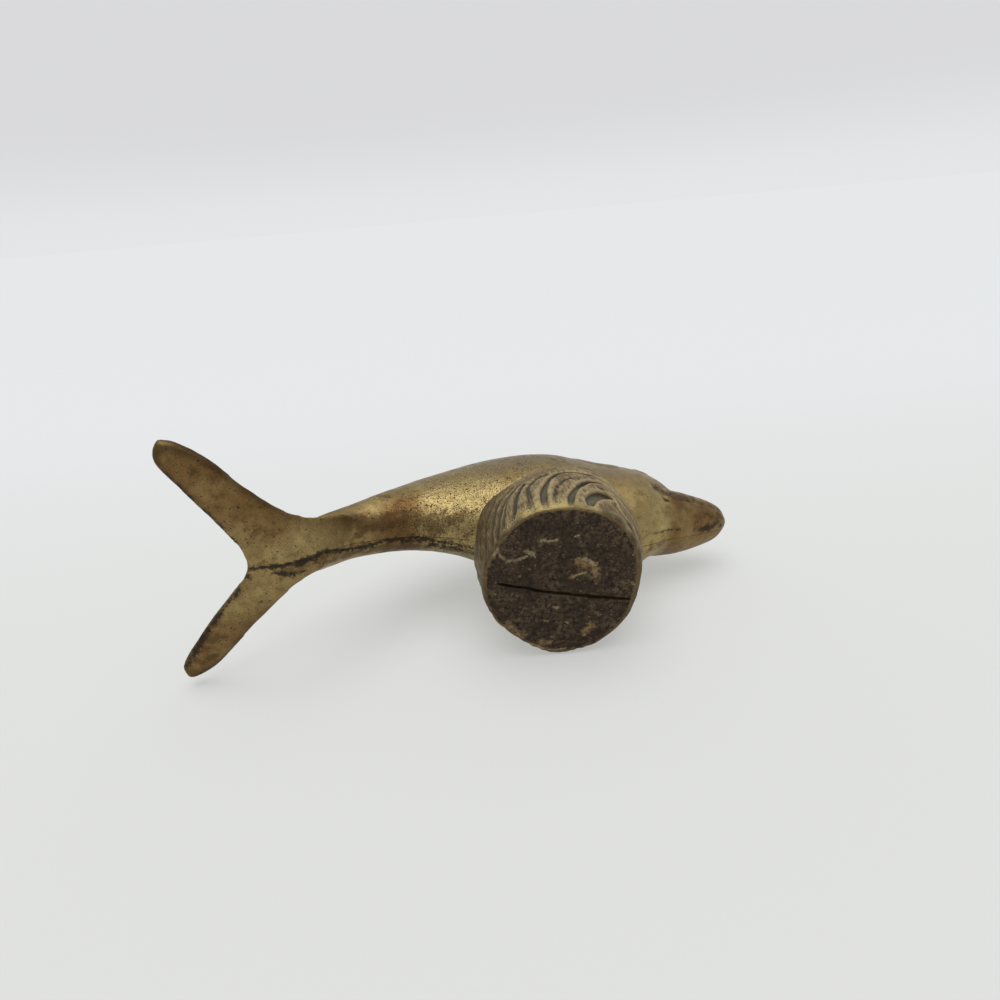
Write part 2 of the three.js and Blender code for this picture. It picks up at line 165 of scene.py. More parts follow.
def crest(angle, lip):
    """The wave's top edge along the body, standing proud of the body's skin by lip."""
    x = CREST_MIDDLE + CREST_REACH * np.cos(angle)
    m, hw, hd = body_at(x)
    headward = 1 - np.arccos(np.clip(np.cos(angle), -1, 1)) / math.pi
    z = m - hd + np.maximum(0, through(CREST_RISES, headward)[..., 0])
    share = (z - m) / hd
    y = np.sign(np.sin(angle)) * hw * np.sqrt(np.maximum(0, 1 - share**2))
    skin = unit(np.stack([np.zeros_like(x), y / hw**2, (z - m) / hd**2], -1))
    return np.stack([x, y, z], -1) + skin * np.asarray(lip)[..., None]


def wave_face(angle, share):
    """The wave's outer face, share 0 at the base rim and 1 at the crest."""
    s = np.asarray(share)[..., None]
    place = rim(angle, 0, PAD_THICKNESS) * (1 - s) + crest(angle, CREST_LIP) * s
    swell = (WAVE_BULGE * np.abs(np.sin(angle)) * 4 * share * (1 - share))[..., None]
    return place + np.stack([np.cos(angle), np.sin(angle), np.zeros_like(angle)], -1) * swell


# ---- Mesh helpers ----

def unrolled(sides, rows):
    """A flat grid, with each point's turn and rise from 0 to 1."""
    bm = bmesh.new()
    bmesh.ops.create_grid(bm, x_segments=sides, y_segments=rows, size=0.5)
    flat = np.array([v.co for v in bm.verts])
    return bm, flat[:, 0] + 0.5, flat[:, 1] + 0.5


def closed_up(bm):
    """Merges doubles, which closes seams and poles, and turns the faces outwards."""
    bmesh.ops.remove_doubles(bm, verts=bm.verts, dist=1e-4)
    bmesh.ops.dissolve_degenerate(bm, edges=bm.edges, dist=1e-5)
    bmesh.ops.recalc_face_normals(bm, faces=bm.faces)
    return bm


def wrapped(sides, rows, place):
    """A grid wrapped into a closed form: place(turn, rise) gives its points, rise 0 and 1 are its
    two ends, and turn goes once round."""
    bm, turn, rise = unrolled(sides, rows)
    for vert, co in zip(bm.verts, place(turn, rise)):
        vert.co = co
    return closed_up(bm)


def mesh_from(bm, name):
    """A mesh from a bmesh, which is used up."""
    mesh = bpy.data.meshes.new(name)
    bm.to_mesh(mesh)
    bm.free()
    return mesh


def joined(parts, name):
    """Several bmeshes in one mesh."""
    whole = bmesh.new()
    for part in parts:
        whole.from_mesh(mesh_from(part, name + "_part"))
    return mesh_from(whole, name)


def added(name, data):
    """A new object in the scene."""
    thing = bpy.data.objects.new(name, data)
    bpy.context.scene.collection.objects.link(thing)
    return thing


def modified(mesh, kind, **settings):
    """The mesh after one modifier."""
    holder = added("holder", mesh)
    change = holder.modifiers.new("change", kind)
    for key, value in settings.items():
        setattr(change, key, value)
    dg = bpy.context.evaluated_depsgraph_get()
    result = bpy.data.meshes.new_from_object(holder.evaluated_get(dg), depsgraph=dg)
    bpy.data.objects.remove(holder)
    return result


def points_of(mesh, what="co"):
    """One row for each point: its place, or its normal."""
    rows = np.empty(len(mesh.vertices) * 3)
    mesh.vertices.foreach_get(what, rows)
    return rows.reshape(-1, 3)


def move_points(mesh, places):
    """Puts the points in new places."""
    mesh.vertices.foreach_set("co", np.ascontiguousarray(places).ravel())
    mesh.update()


def mark(mesh, name, values, least=0):
    """Keeps one number a point for the material, from least to 1."""
    if name not in mesh.attributes:
        mesh.attributes.new(name, 'FLOAT', 'POINT')
    kept = np.clip(values, least, 1).astype(np.float32)
    mesh.attributes[name].data.foreach_set("value", kept)


def smoothed(mesh, values, rounds):
    """values averaged over neighbouring points again and again."""
    own_share = 0.35
    ends = np.empty(len(mesh.edges) * 2, int)
    mesh.edges.foreach_get("vertices", ends)
    a, b = ends[0::2], ends[1::2]
    count = np.bincount(ends, minlength=len(mesh.vertices)).clip(1)
    values = values.copy()
    for _ in range(rounds):
        for k in range(values.shape[1]):
            column = values[:, k]
            total = np.bincount(a, column[b], len(column)) + np.bincount(b, column[a], len(column))
            values[:, k] = own_share * column + (1 - own_share) * total / count
    return values


def mark_edges(mesh, rounds, size):
    """How far each point stands proud of its surroundings: edges above 0, grooves below."""
    places = points_of(mesh)
    proud = ((places - smoothed(mesh, places, rounds)) * points_of(mesh, "normal")).sum(1)
    mark(mesh, "proud", proud / size, -1)


# Drawn lines: steps from point to point, how far off they are felt, and what is farther off
LINE_STEPS, LINE_REACH, FAR_OFF = 14, 5, 99.0
PLACES_AT_A_TIME = 4000


def near_line(places, line, widths=None):
    """Distance from each place to a drawn line, less the line's half width there."""
    line = np.asarray(line, float)
    t = np.linspace(0, 1, max(2, len(line) * LINE_STEPS))
    fine = through(line, t)
    half = np.zeros(len(t)) if widths is None else through(np.asarray(widths)[:, None], t)[:, 0]
    low, high = fine.min(0) - LINE_REACH, fine.max(0) + LINE_REACH
    close = np.flatnonzero(((places > low) & (places < high)).all(1))
    distance = np.full(len(places), FAR_OFF)
    for part in np.array_split(close, max(1, len(close) // PLACES_AT_A_TIME)):
        gap = np.linalg.norm(places[part][:, None] - fine[None], axis=2) - half[None]
        distance[part] = gap.min(1)
    return distance


def drawn(places, rows, ragged=1.0):
    """How strongly lines mark each place. Each row has a width, a strength and a line."""
    value = np.zeros(len(places))
    for width, strength, line in rows:
        gap = np.maximum(0, near_line(places, line))
        value = np.maximum(value, strength * bell(gap, width * ragged))
    return value


def both_sides(rows):
    """Rows that end in a line, each followed by its mirror image."""
    return [(*row, path) for *row, line in rows
            for path in (line, [(x, -y, z) for x, y, z in line])]


def crossed(bm, point, normal, clear=False):
    """Cuts the faces along a plane, and with clear takes away what is in front of it."""
    everything = bm.verts[:] + bm.edges[:] + bm.faces[:]
    return bmesh.ops.bisect_plane(bm, geom=everything, dist=1e-5, plane_co=point, plane_no=normal,
                                  clear_outer=clear)


def cut_away(mesh, point, normal, name):
    """What is behind a plane, closed again where the plane cuts it."""
    bm = bmesh.new()
    bm.from_mesh(mesh)
    cut = crossed(bm, point, normal, True)
    edges = [e for e in cut["geom_cut"] if isinstance(e, bmesh.types.BMEdge)]
    filled = bmesh.ops.holes_fill(bm, edges=edges, sides=0)
    bmesh.ops.triangulate(bm, faces=filled["faces"])
    return mesh_from(bm, name)


def parted(skin, middle, side, inner, name):
    """The right half, the left half, and the film of filler between them as far as inner."""
    edge = side * FILM
    right = cut_away(skin, middle - edge, side, name + "_right")
    left = cut_away(skin, middle + edge, -side, name + "_left")
    film = cut_away(skin, middle + inner, side, name + "_slab")
    return right, left, cut_away(film, middle - inner, -side, name + "_film")


def split_at(mesh, planes):
    """Adds edge loops where the planes cross the mesh."""
    bm = bmesh.new()
    bm.from_mesh(mesh)
    for point, normal in planes:
        crossed(bm, point, normal)
    return mesh_from(bm, mesh.name + "_split")


def eased(bm, verts, rounds, factor):
    """Smooths some of the points."""
    for _ in range(rounds):
        bmesh.ops.smooth_vert(bm, verts=verts, factor=factor, use_axis_x=True, use_axis_y=True,
                              use_axis_z=True)


def set_down(mesh, name, nodes, material):
    """Puts a finished shape in place as the piece that stands for CAD nodes."""
    mesh.transform(Matrix.Scale(MILLIMETRE, 4) @ Matrix.Translation(PART_ZERO))
    mesh.name = name
    mesh.materials.clear()
    mesh.materials.append(material)
    mesh.shade_smooth()
    mesh.set_sharp_from_angle(angle=SHARP_ANGLE)
    piece = added(name, mesh)
    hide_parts(*nodes)
    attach(piece, "root")


# ---- Material helpers ----

# Colours as they look, 0 to 255. Some of them are painted highlights and painted shade.
TONES = {
    "film": (96, 78, 47), "aged": (150, 135, 106), "gold edge": (170, 146, 98),
    "dark edge": (62, 48, 30), "dent": (52, 40, 24), "pit": (42, 30, 16), "speck": (62, 46, 24),
    "stain": (78, 56, 34), "grime": (42, 31, 22),
    "wave": (151, 131, 93), "wave brown": (124, 105, 70), "wave film": (100, 84, 56),
    "wave shade": (90, 74, 46), "ridge": (205, 185, 138), "stroke": (70, 58, 38),
    "ash": (78, 76, 55), "pale ash": (128, 124, 98), "hollow": (32, 25, 17),
    "rubbed": (208, 188, 126), "wave pit": (52, 42, 28), "soil": (66, 52, 36),
    "filler": (58, 42, 26), "bare filler": (96, 78, 44),
    "felt": (22, 15, 11), "fibre": (102, 84, 63), "grease": (33, 23, 17), "dust": (70, 55, 37),
    "lint": (140, 126, 100), "crumb": (150, 138, 112), "threadbare": (116, 96, 62),
    "gilt": (150, 122, 82), "glue": (160, 146, 110),
    "near floor": (224, 225, 222), "far floor": (230, 232, 233), "low wall": (228, 230, 231),
    "wall": (218, 218, 220), "high wall": (192, 193, 194), "room": (184, 185, 186),
}


def named_colour(tone):
    """A colour from TONES, or one written in the same way, made linear."""
    def line(v):
        v /= 255
        return v / 12.92 if v <= 0.04045 else ((v + 0.055) / 1.055) ** 2.4
    return (*map(line, TONES.get(tone, tone)), 1)


class Wiring:
    """Short ways to add nodes to one node tree."""

    def __init__(self, tree):
        self.tree = tree

    def fill(self, node, sockets):
        """Links what is a socket, and sets what is a plain value."""
        for key, value in sockets.items():
            if isinstance(value, bpy.types.NodeSocket):
                self.tree.links.new(value, node.inputs[key])
            else:
                node.inputs[key].default_value = value
        return node

    def add(self, kind, sockets=None, **settings):
        node = self.tree.nodes.new(kind)
        for key, value in settings.items():
            setattr(node, key, value)
        return self.fill(node, sockets or {})

    def math(self, way, a, b=0.0, clamp=False):
        return self.add('ShaderNodeMath', {0: a, 1: b}, operation=way, use_clamp=clamp).outputs[0]

    def times(self, a, b):
        return self.math('MULTIPLY', a, b)

    def most(self, a, b):
        return self.math('MAXIMUM', a, b)

    def swing(self, mask, size):
        """A mask from 0 to 1 as ups and downs about 0."""
        return self.times(self.math('SUBTRACT', mask, 0.5), size)

    def spread(self, value, low, high, to_low=0.0, to_high=1.0, kind='SMOOTHSTEP'):
        return self.add('ShaderNodeMapRange', {'Value': value, 'From Min': low, 'From Max': high,
                                               'To Min': to_low, 'To Max': to_high},
                        interpolation_type=kind).outputs[0]

    def ramp(self, mask, low, high):
        """A mask from 0 to 1 as values from low to high."""
        return self.spread(mask, 0, 1, low, high, 'LINEAR')

    def mix(self, share, a, b, way='MIX'):
        return self.add('ShaderNodeMix', {0: share, 6: a, 7: b}, data_type='RGBA',
                        blend_type=way).outputs[2]

    def blend(self, share, a, b):
        return self.mix(share, named_colour(a), named_colour(b))

    def paint(self, colour, mask, strength, tone):
        """Lays a tone over the colour where the mask is."""
        return self.mix(self.times(mask, strength), colour, named_colour(tone))

    def grained(self, colour, mask, low, high):
        """The colour darkened and lightened by a mask."""
        shade = self.ramp(mask, low, high)
        grey = self.add('ShaderNodeCombineColor', {0: shade, 1: shade, 2: shade}).outputs[0]
        return self.mix(1.0, colour, grey, 'MULTIPLY')

    def moved(self, place, shift):
        return self.add('ShaderNodeVectorMath', {0: place, 1: shift}, operation='ADD').outputs[0]

    def noise(self, place, scale, detail, rough, shift=(0, 0, 0)):
        return self.add('ShaderNodeTexNoise', {'Vector': self.moved(place, shift), 'Scale': scale,
                                               'Detail': detail, 'Roughness': rough}).outputs['Fac']

    def attribute(self, name):
        return self.add('ShaderNodeAttribute', attribute_name=name).outputs['Fac']

    def ragged_mark(self, name, ragged, low, high, foot, full):
        """A mark kept on the piece, with a ragged edge, and nothing where there is no mark."""
        value = self.attribute(name)
        return self.times(self.spread(self.math('ADD', value, ragged), low, high),
                          self.spread(value, foot, full))

    def bump(self, height, strength, depth):
        """Fine relief. The depth is in millimetres."""
        return self.add('ShaderNodeBump', {'Height': height, 'Strength': strength,
                                           'Distance': depth * MILLIMETRE}).outputs[0]

    def facing(self, way, other):
        """How much two ways agree, 1 where they are the same."""
        return self.add('ShaderNodeVectorMath', {0: way, 1: tuple(other)},
                        operation='DOT_PRODUCT').outputs['Value']


def group(name, inputs, outputs):
    """A new node group: its wiring, what comes in, and where its results go. Place is a vector,
    and the other sockets are numbers."""
    tree = bpy.data.node_groups.new(name, 'ShaderNodeTree')

    def socket(label, side):
        kind = 'NodeSocketVector' if label == "Place" else 'NodeSocketFloat'
        return tree.interface.new_socket(label, in_out=side, socket_type=kind)
    for label, value in inputs.items():
        made = socket(label, 'INPUT')
        if value is not None:
            made.default_value = value
    for label in outputs:
        socket(label, 'OUTPUT')
    return Wiring(tree), tree.nodes.new('NodeGroupInput').outputs, tree.nodes.new('NodeGroupOutput')


def millimetres_group():
    """Places on the piece in millimetres."""
    w, _, end = group("place_in_mm", {}, ["Place"])
    place = w.add('ShaderNodeTexCoord').outputs['Object']
    scaled = w.add('ShaderNodeVectorMath', {0: place, 'Scale': 1 / MILLIMETRE}, operation='SCALE')
    w.fill(end, {"Place": scaled.outputs[0]})
    return w.tree


def pits_group():
    """Fine casting pits of two sizes: a mask of dark dots, thicker where Amount is higher."""
    w, ins, end = group("casting_pits", {"Place": None, "Spacing": 0.9, "Amount": 0.5}, ["Pits"])
    widest, core = 0.42, 0.4
    masks = []
    for finer, shift in ((1.0, 0.0), (0.52, 7.3)):
        scale = w.math('DIVIDE', 1.0, w.times(ins["Spacing"], finer))
        cells = w.add('ShaderNodeTexVoronoi', {'Vector': w.moved(ins["Place"], (shift,) * 3),
                                               'Scale': scale, 'Randomness': 1.0})
        pick = w.add('ShaderNodeSeparateColor', {'Color': cells.outputs['Color']})
        size = w.times(pick.outputs[0], widest)
        dot = w.spread(cells.outputs['Distance'], size, w.times(size, core))
        shown = w.math('LESS_THAN', pick.outputs[1], ins["Amount"])
        masks.append(w.times(dot, shown))
    w.fill(end, {"Pits": w.most(*masks)})
    return w.tree


def patina_group():
    """Clouds of patina: slow and quick, and a fine grain."""
    w, ins, end = group("tarnish_clouds", {"Place": None, "Size": 12.0},
                        ["Slow", "Quick", "Grain"])
    place, scale = ins["Place"], w.math('DIVIDE', 1.0, ins["Size"])
    slow = w.noise(place, scale, 4.0, 0.6)
    quick = w.noise(place, w.times(scale, 5.0), 5.0, 0.65, (31, 5, 17))
    grain = w.noise(place, w.times(scale, 26.0), 4.0, 0.7, (3, 41, 9))
    w.fill(end, {"Slow": w.spread(slow, 0.38, 0.62), "Quick": w.spread(quick, 0.36, 0.66),
                 "Grain": w.spread(grain, 0.33, 0.68)})
    return w.tree


PLACE = millimetres_group()
PITS = pits_group()
PATINA = patina_group()


def placed(w, tree, **values):
    """One of the groups in a material, with its own values."""
    return w.add('ShaderNodeGroup', values, node_tree=tree).outputs


def new_material(name):
    """An empty material: itself, its wiring and its shader."""
    material = bpy.data.materials.new(name)
    material.use_nodes = True
    material.node_tree.nodes.clear()
    w = Wiring(material.node_tree)
    shader = w.add('ShaderNodeBsdfPrincipled')
    w.add('ShaderNodeOutputMaterial', {'Surface': shader.outputs[0]})
    return material, w, shader


def clouded(name, size):
    """An empty material, with places in millimetres and clouds of patina ready in it."""
    material, w, shader = new_material(name)
    place = placed(w, PLACE)[0]
    return material, w, shader, place, placed(w, PATINA, Place=place, Size=size)


def polished_brass(name, gold, dull, rough):
    """Old cast brass: golden where hands have rubbed it and where a highlight is painted on the
    lit flank, brown and dull elsewhere, and pitted, with painted light and shade on its edges
    and painted shade in its grooves.
    """
    material, w, shader, place, clouds = clouded(name, 11.0)
    proud, pitted, tarnish_and_highlight, aged = map(w.attribute, ("proud", "pitted", "tarnish_and_highlight", "aged"))
    uneven = w.math('ADD', tarnish_and_highlight, w.swing(clouds["Slow"], 0.3), True)
    colour = w.blend(uneven, gold, dull)
    colour = w.paint(colour, clouds["Quick"], 0.3, "film")
    colour = w.grained(colour, clouds["Grain"], 0.84, 1.14)
    colour = w.paint(colour, aged, w.ramp(clouds["Quick"], 0.75, 1), "aged")
    edge, dent = w.spread(proud, 0.15, 0.8), w.spread(proud, -0.1, -0.7)
    # painted light on edges: a highlight painted on bright brass, shade painted on brown brass
    edge_light_and_shade = w.blend(tarnish_and_highlight, "gold edge", "dark edge")
    colour = w.mix(w.times(edge, w.ramp(tarnish_and_highlight, 0.2, 0.6)), colour, edge_light_and_shade)
    # painted shade in the grooves
    colour = w.paint(colour, dent, 0.6, "dent")
    fine = placed(w, PITS, Place=place, Spacing=0.6, Amount=pitted)[0]
    amount = w.times(w.spread(pitted, 0.3, 1, 0, 0.6, 'LINEAR'),
                     w.spread(aged, 0, 0.6, 1, 0.25, 'LINEAR'))
    dots = w.most(fine, placed(w, PITS, Place=place, Spacing=1.05, Amount=amount)[0])
    colour = w.paint(colour, dots, 0.9, "pit")
    specks = w.times(w.spread(clouds["Grain"], 0.55, 0.85), w.spread(pitted, 0.35, 1.0))
    colour = w.paint(colour, specks, 0.75, "speck")
    ragged = w.math('ADD', w.swing(clouds["Quick"], 0.5), w.swing(clouds["Grain"], 0.5))
    stain = w.ragged_mark("stain", ragged, 0.2, 0.75, 0.0, 0.12)
    colour = w.paint(colour, stain, 0.62, "stain")
    # dark seam lines and grime, and painted shade along the mouth line and the crease
    grime = w.ragged_mark("grime", ragged, 0.25, 0.7, 0.0, 0.15)
    colour = w.paint(colour, grime, 0.85, "grime")
    dull_part = w.most(w.most(grime, dent), w.times(dots, 0.8))
    sheen = w.math('ADD', w.ramp(clouds["Quick"], rough, rough + 0.12), w.times(tarnish_and_highlight, 0.08))
    height = w.math('SUBTRACT', w.times(clouds["Grain"], 0.25), dots)
    w.fill(shader, {'Base Color': colour,
                    'Roughness': w.math('ADD', sheen, w.times(dull_part, 0.25), True),
                    'Metallic': w.ramp(dull_part, 1.0, 0.5),
                    'Normal': w.bump(height, 0.6, 0.12)})
    return material


def carved_brass(name):
    """The wave: dull grey-brown brass, ashen in its hollows and gold where it is rubbed, with a
    painted highlight on its ridges and painted shade in its carved strokes, its hollows and on
    its shaded side.
    """
    material, w, shader, place, clouds = clouded(name, 8.0)
    proud, carved, ashen, shaded = map(w.attribute, ("proud", "carved", "ashen", "shaded"))
    dots = placed(w, PITS, Place=place, Spacing=0.75, Amount=0.6)[0]
    calm = w.ramp(shaded, 1, 0.65)
    colour = w.blend(clouds["Slow"], "wave", "wave brown")
    colour = w.paint(colour, clouds["Quick"], 0.45, "wave film")
    colour = w.paint(colour, shaded, 0.65, "wave shade")
    # a painted highlight on the ridges, less where the wave is soiled and on its shaded side
    edge = w.times(w.spread(proud, 0.0, 0.4), w.math('SUBTRACT', 1.0, w.attribute("soiled")))
    dent = w.times(w.spread(proud, -0.02, -0.3), w.math('SUBTRACT', 1.0, w.times(ashen, 0.75)))
    colour = w.paint(colour, w.times(edge, 0.6), calm, "ridge")
    # painted shade in the carved strokes, darker where they are cut deeper
    colour = w.paint(colour, w.spread(carved, 0.12, 0.8, 0, 0.6), calm, "stroke")
    colour = w.mix(w.times(ashen, 0.75), colour, w.blend(clouds["Grain"], "ash", "pale ash"))
    # painted shade in the hollows, less where they are ashen
    colour = w.paint(colour, w.times(dent, 0.85), calm, "hollow")
    gilt = w.ragged_mark("rubbed", w.swing(clouds["Grain"], 1.1), 0.2, 0.65, 0.0, 0.2)
    colour = w.paint(colour, gilt, 0.85, "rubbed")
    colour = w.grained(colour, clouds["Grain"], 0.74, 1.22)
    colour = w.paint(colour, dots, 0.55, "wave pit")
    soil = w.ragged_mark("soiled", w.swing(clouds["Grain"], 1.0), 0.3, 0.7, 0.0, 0.2)
    colour = w.paint(colour, soil, 0.8, "soil")
    height = w.math('SUBTRACT', w.times(clouds["Grain"], 0.6), dots)
    w.fill(shader, {'Base Color': colour, 'Roughness': w.ramp(clouds["Quick"], 0.52, 0.68),
                    'Metallic': w.ramp(w.most(dent, w.most(ashen, soil)), 0.85, 0.35),
                    'Normal': w.bump(height, 0.9, 0.15)})
    return material


def seam_metal(name):
    """Dark, rough filler in the wave's seam."""
    material, w, shader, _, clouds = clouded(name, 7.0)
    w.fill(shader, {'Base Color': w.blend(clouds["Quick"], "filler", "bare filler"),
                    'Roughness': w.ramp(clouds["Grain"], 0.55, 0.8), 'Metallic': 0.4,
                    'Normal': w.bump(clouds["Grain"], 0.6, 0.12)})
    return material


def worn_felt(name):
    """Dark, greasy felt, matted and speckled, worn through at the edge."""
    material, w, shader, place, clouds = clouded(name, 7.0)
    fibres = w.noise(place, 0.8, 7.0, 0.8, (9, 2, 5))
    lint = w.noise(place, 0.7, 7.0, 0.85, (4, 8, 1))
    crumbs = placed(w, PITS, Place=place, Spacing=1.1, Amount=0.3)[0]
    colour = w.blend(w.spread(fibres, 0.4, 0.62), "felt", "fibre")
    colour = w.paint(colour, clouds["Slow"], 0.7, "grease")
    colour = w.paint(colour, clouds["Quick"], 0.35, "dust")
    colour = w.paint(colour, w.spread(lint, 0.59, 0.68), 0.8, "lint")
    colour = w.paint(colour, crumbs, 0.35, "crumb")
    ragged = w.swing(w.noise(place, 1.4, 5.0, 0.8, (1, 2, 3)), 2.6)
    broken = w.spread(lint, 0.38, 0.56, 0.15, 1.0)
    worn = w.ragged_mark("worn", ragged, 0.45, 0.9, 0.02, 0.3)
    colour = w.paint(colour, worn, 0.8, "threadbare")
    gilt, pale = (w.times(w.ragged_mark(label, ragged, 0.3, 0.8, 0.02, 0.3), broken)
                  for label in ("gilt", "pale"))
    colour = w.paint(colour, gilt, 0.85, "gilt")
    colour = w.paint(colour, pale, 0.8, "glue")
    height = w.math('ADD', fibres, w.times(clouds["Quick"], 0.5))
    w.fill(shader, {'Base Color': colour, 'Roughness': 0.85, 'Specular IOR Level': 0.25,
                    'Normal': w.bump(height, 0.9, 0.25)})
    return material


BODY_BRASS = polished_brass("polished_brass", (178, 158, 107), (127, 98, 61), 0.36)
FIN_BRASS = polished_brass("fin_brass", (150, 131, 88), (110, 90, 60), 0.38)
SEAM_METAL = polished_brass("seam_filler", (140, 117, 74), (104, 82, 52), 0.42)
WAVE_BRASS = carved_brass("carved_brass")
WAVE_FILLER = seam_metal("wave_filler")
FELT = worn_felt("worn_felt")


# ---- Dolphin ----

def along(rise, rows):
    """How far along each row lies, 0 to 1, and 0 for the rows that close the ends, else 1."""
    at_end = (rise < 0.5 / rows) | (rise > 1 - 0.5 / rows)
    return np.clip((rise * rows - 1) / (rows - 2), 0, 1), np.where(at_end, 0, 1)


def swept(sections, sides, rows):
    """An oval swept along its sections, with closed ends."""
    past_end = 0.4

    def place(turn, rise):
        t, open_share = along(rise, rows)
        s = through(sections, t)
        angle = turn * 2 * math.pi
        x = s[:, 0] + np.where(open_share, 0, np.where(rise < 0.5, -past_end, past_end))
        return np.stack([x, s[:, 2] / 2 * np.cos(angle) * open_share,
                         s[:, 1] + s[:, 3] / 2 * np.sin(angle) * open_share], -1)
    return wrapped(sides, rows, place)


def blade(trailing, leading, tip, thickness, lift, sides, rows):
    """A thin blade: lens sections between its trailing and its leading edge."""
    back_edge, front_edge = [*trailing, tip], [*leading, tip]
    fullness = 0.75

    def place(turn, rise):
        t, open_share = along(rise, rows)
        back, front = through(back_edge, t), through(front_edge, t)
        half = np.linalg.norm(front - back, axis=1) / 2
        angle = turn * 2 * math.pi
        out = (half * np.cos(angle) * open_share)[:, None]
        flat = (front + back) / 2 + unit(front - back) * out
        rounding = np.sign(np.sin(angle)) * np.abs(np.sin(angle)) ** fullness
        up = np.minimum(thickness / 2, half) * rounding * open_share
        return np.stack([flat[:, 0], flat[:, 1], lift(flat[:, 0]) + up], -1)
    return wrapped(sides, rows, place)


def fluke(shape, side):
    """One tail fluke. It slopes up towards the head and curls up into the tail stock."""
    bm = blade(shape["trailing"], shape["leading"], shape["tip"], FLUKE_THICKNESS,
               lambda x: FLUKE_SLOPE * x + FLUKE_CURL * np.maximum(0, x) ** 2, 96, 90)
    for vert in bm.verts:
        vert.co = Vector((vert.co.x, side * vert.co.y, vert.co.z)) + Vector(NOTCH)
    bmesh.ops.recalc_face_normals(bm, faces=bm.faces)
    return bm


# The mouth, from its corner to the tip of the beak, and the crease between forehead and beak
MOUTH = [(34.0, -9.9, 35.4), (36.9, -9.6, 36.0), (39.4, -9.2, 37.0), (41.9, -8.6, 37.9),
         (45.4, -7.7, 38.9), (49.0, -6.4, 39.5), (52.6, -4.6, 40.3), (55.4, -2.2, 40.9)]
CREASE = [(31.2, -12.3, 39.4), (31.9, -12.0, 37.9), (33.1, -11.2, 36.6), (34.2, -10.0, 35.3)]
# The seam under the dolphin wanders off the middle, because it was filed and filled
SEAM = [(-75.2, .6, 5), (-72.4, 0, 5.2), (-69.5, 0, 6.2), (-66.7, -.1, 7.3), (-64.2, -.2, 9.2),
        (-62, -.5, 10.8), (-59.9, -.5, 12.4), (-57.7, -.2, 14.1), (-54.5, 1.3, 17.4),
        (-50.8, 1.6, 19.3), (-47.9, 1.3, 20.6), (-44.6, .5, 21.7), (-40.7, .3, 22.8),
        (-36.7, .25, 23.6), (-32.7, 1.0, 24.2), (-28.6, 1.8, 24.4), (-24.4, 2.3, 24.1),
        (-21.1, 2.7, 23.5)]
CHIN = [(29.5, -3.0, 26.9), (33.2, -3.1, 29.1), (35.9, -2.9, 30.3), (38.6, -2.8, 31.3)]
CHIN_END = [(41.5, -2.5, 32.6), (44.9, -2.1, 33.8)]
# Dark smears, some of them painted shade at the mouth corner and in the crease, and brown
# stains: width, strength and the line that each follows
SMEARS = [
    (0.72, 1.0, SEAM[:10]), (0.62, 0.95, SEAM[9:]), (0.35, 0.7, CHIN), (0.35, 0.4, CHIN_END),
    (1.15, 0.95, [(-65, .3, 8.5), (-63.3, .1, 9.8), (-61.6, 0, 11.1), (-60.3, -.6, 12.1)]),
    (0.8, 0.8, [(-57.7, .2, 14.1), (-55.5, 1.2, 16.2)]),
    (0.75, 0.8, [(-70.2, 1.6, 5.9), (-68.5, 2.1, 6.3), (-66.9, 3, 7.4), (-65.2, 3.3, 8.5),
                 (-63.4, 3, 9.5)]),
    (0.7, 0.55, [(-62.5, 2.8, 10.1), (-59.6, 2.4, 12.9), (-57.8, 2.5, 14.5)]),
    (0.8, 0.75, [(-50.8, 1.9, 19.3), (-47.9, 1.6, 20.6)]),
    (1.0, 0.75, [(-40, 1.1, 23.1), (-37.5, .9, 23.6), (-35.4, 1.3, 24)]),
    (1.3, 0.7, [(-33, 2.7, 24.6), (-29.9, 3.1, 24.9), (-27.1, 3.3, 24.9), (-24.3, 4, 24.8)]),
    (1.0, 0.9, [(-76.2, 2.2, 4.4), (-75.4, 2.7, 4.4)]),
    (0.85, 0.75, [(-78.2, 5.9, 4.2), (-82.9, 12.9, 3.4), (-87.8, 20.7, 2.6), (-91.5, 28, 2)]),
    (0.6, 0.6, [(-76.6, -5.6, 4.5), (-81.5, -13.5, 3.7), (-87.5, -21.3, 2.8), (-92, -28.3, 2.1)]),
    (1.2, 0.55, [(42.9, -2.3, 33.1), (47.0, -1.8, 34.7)]),
    (1.3, 0.6, [(47.5, -1.6, 34.9), (53.2, -1.3, 37.6)]),
    # these two: painted shade at the mouth corner and in the crease between forehead and beak
    (0.9, 0.55, [(33.0, -10.6, 35.9), (34.6, -9.6, 35.0)]),
    (1.4, 0.5, [(33.2, -11.9, 39.4), (35.5, -10.9, 38.6), (37.8, -10.3, 38.4)]),
]
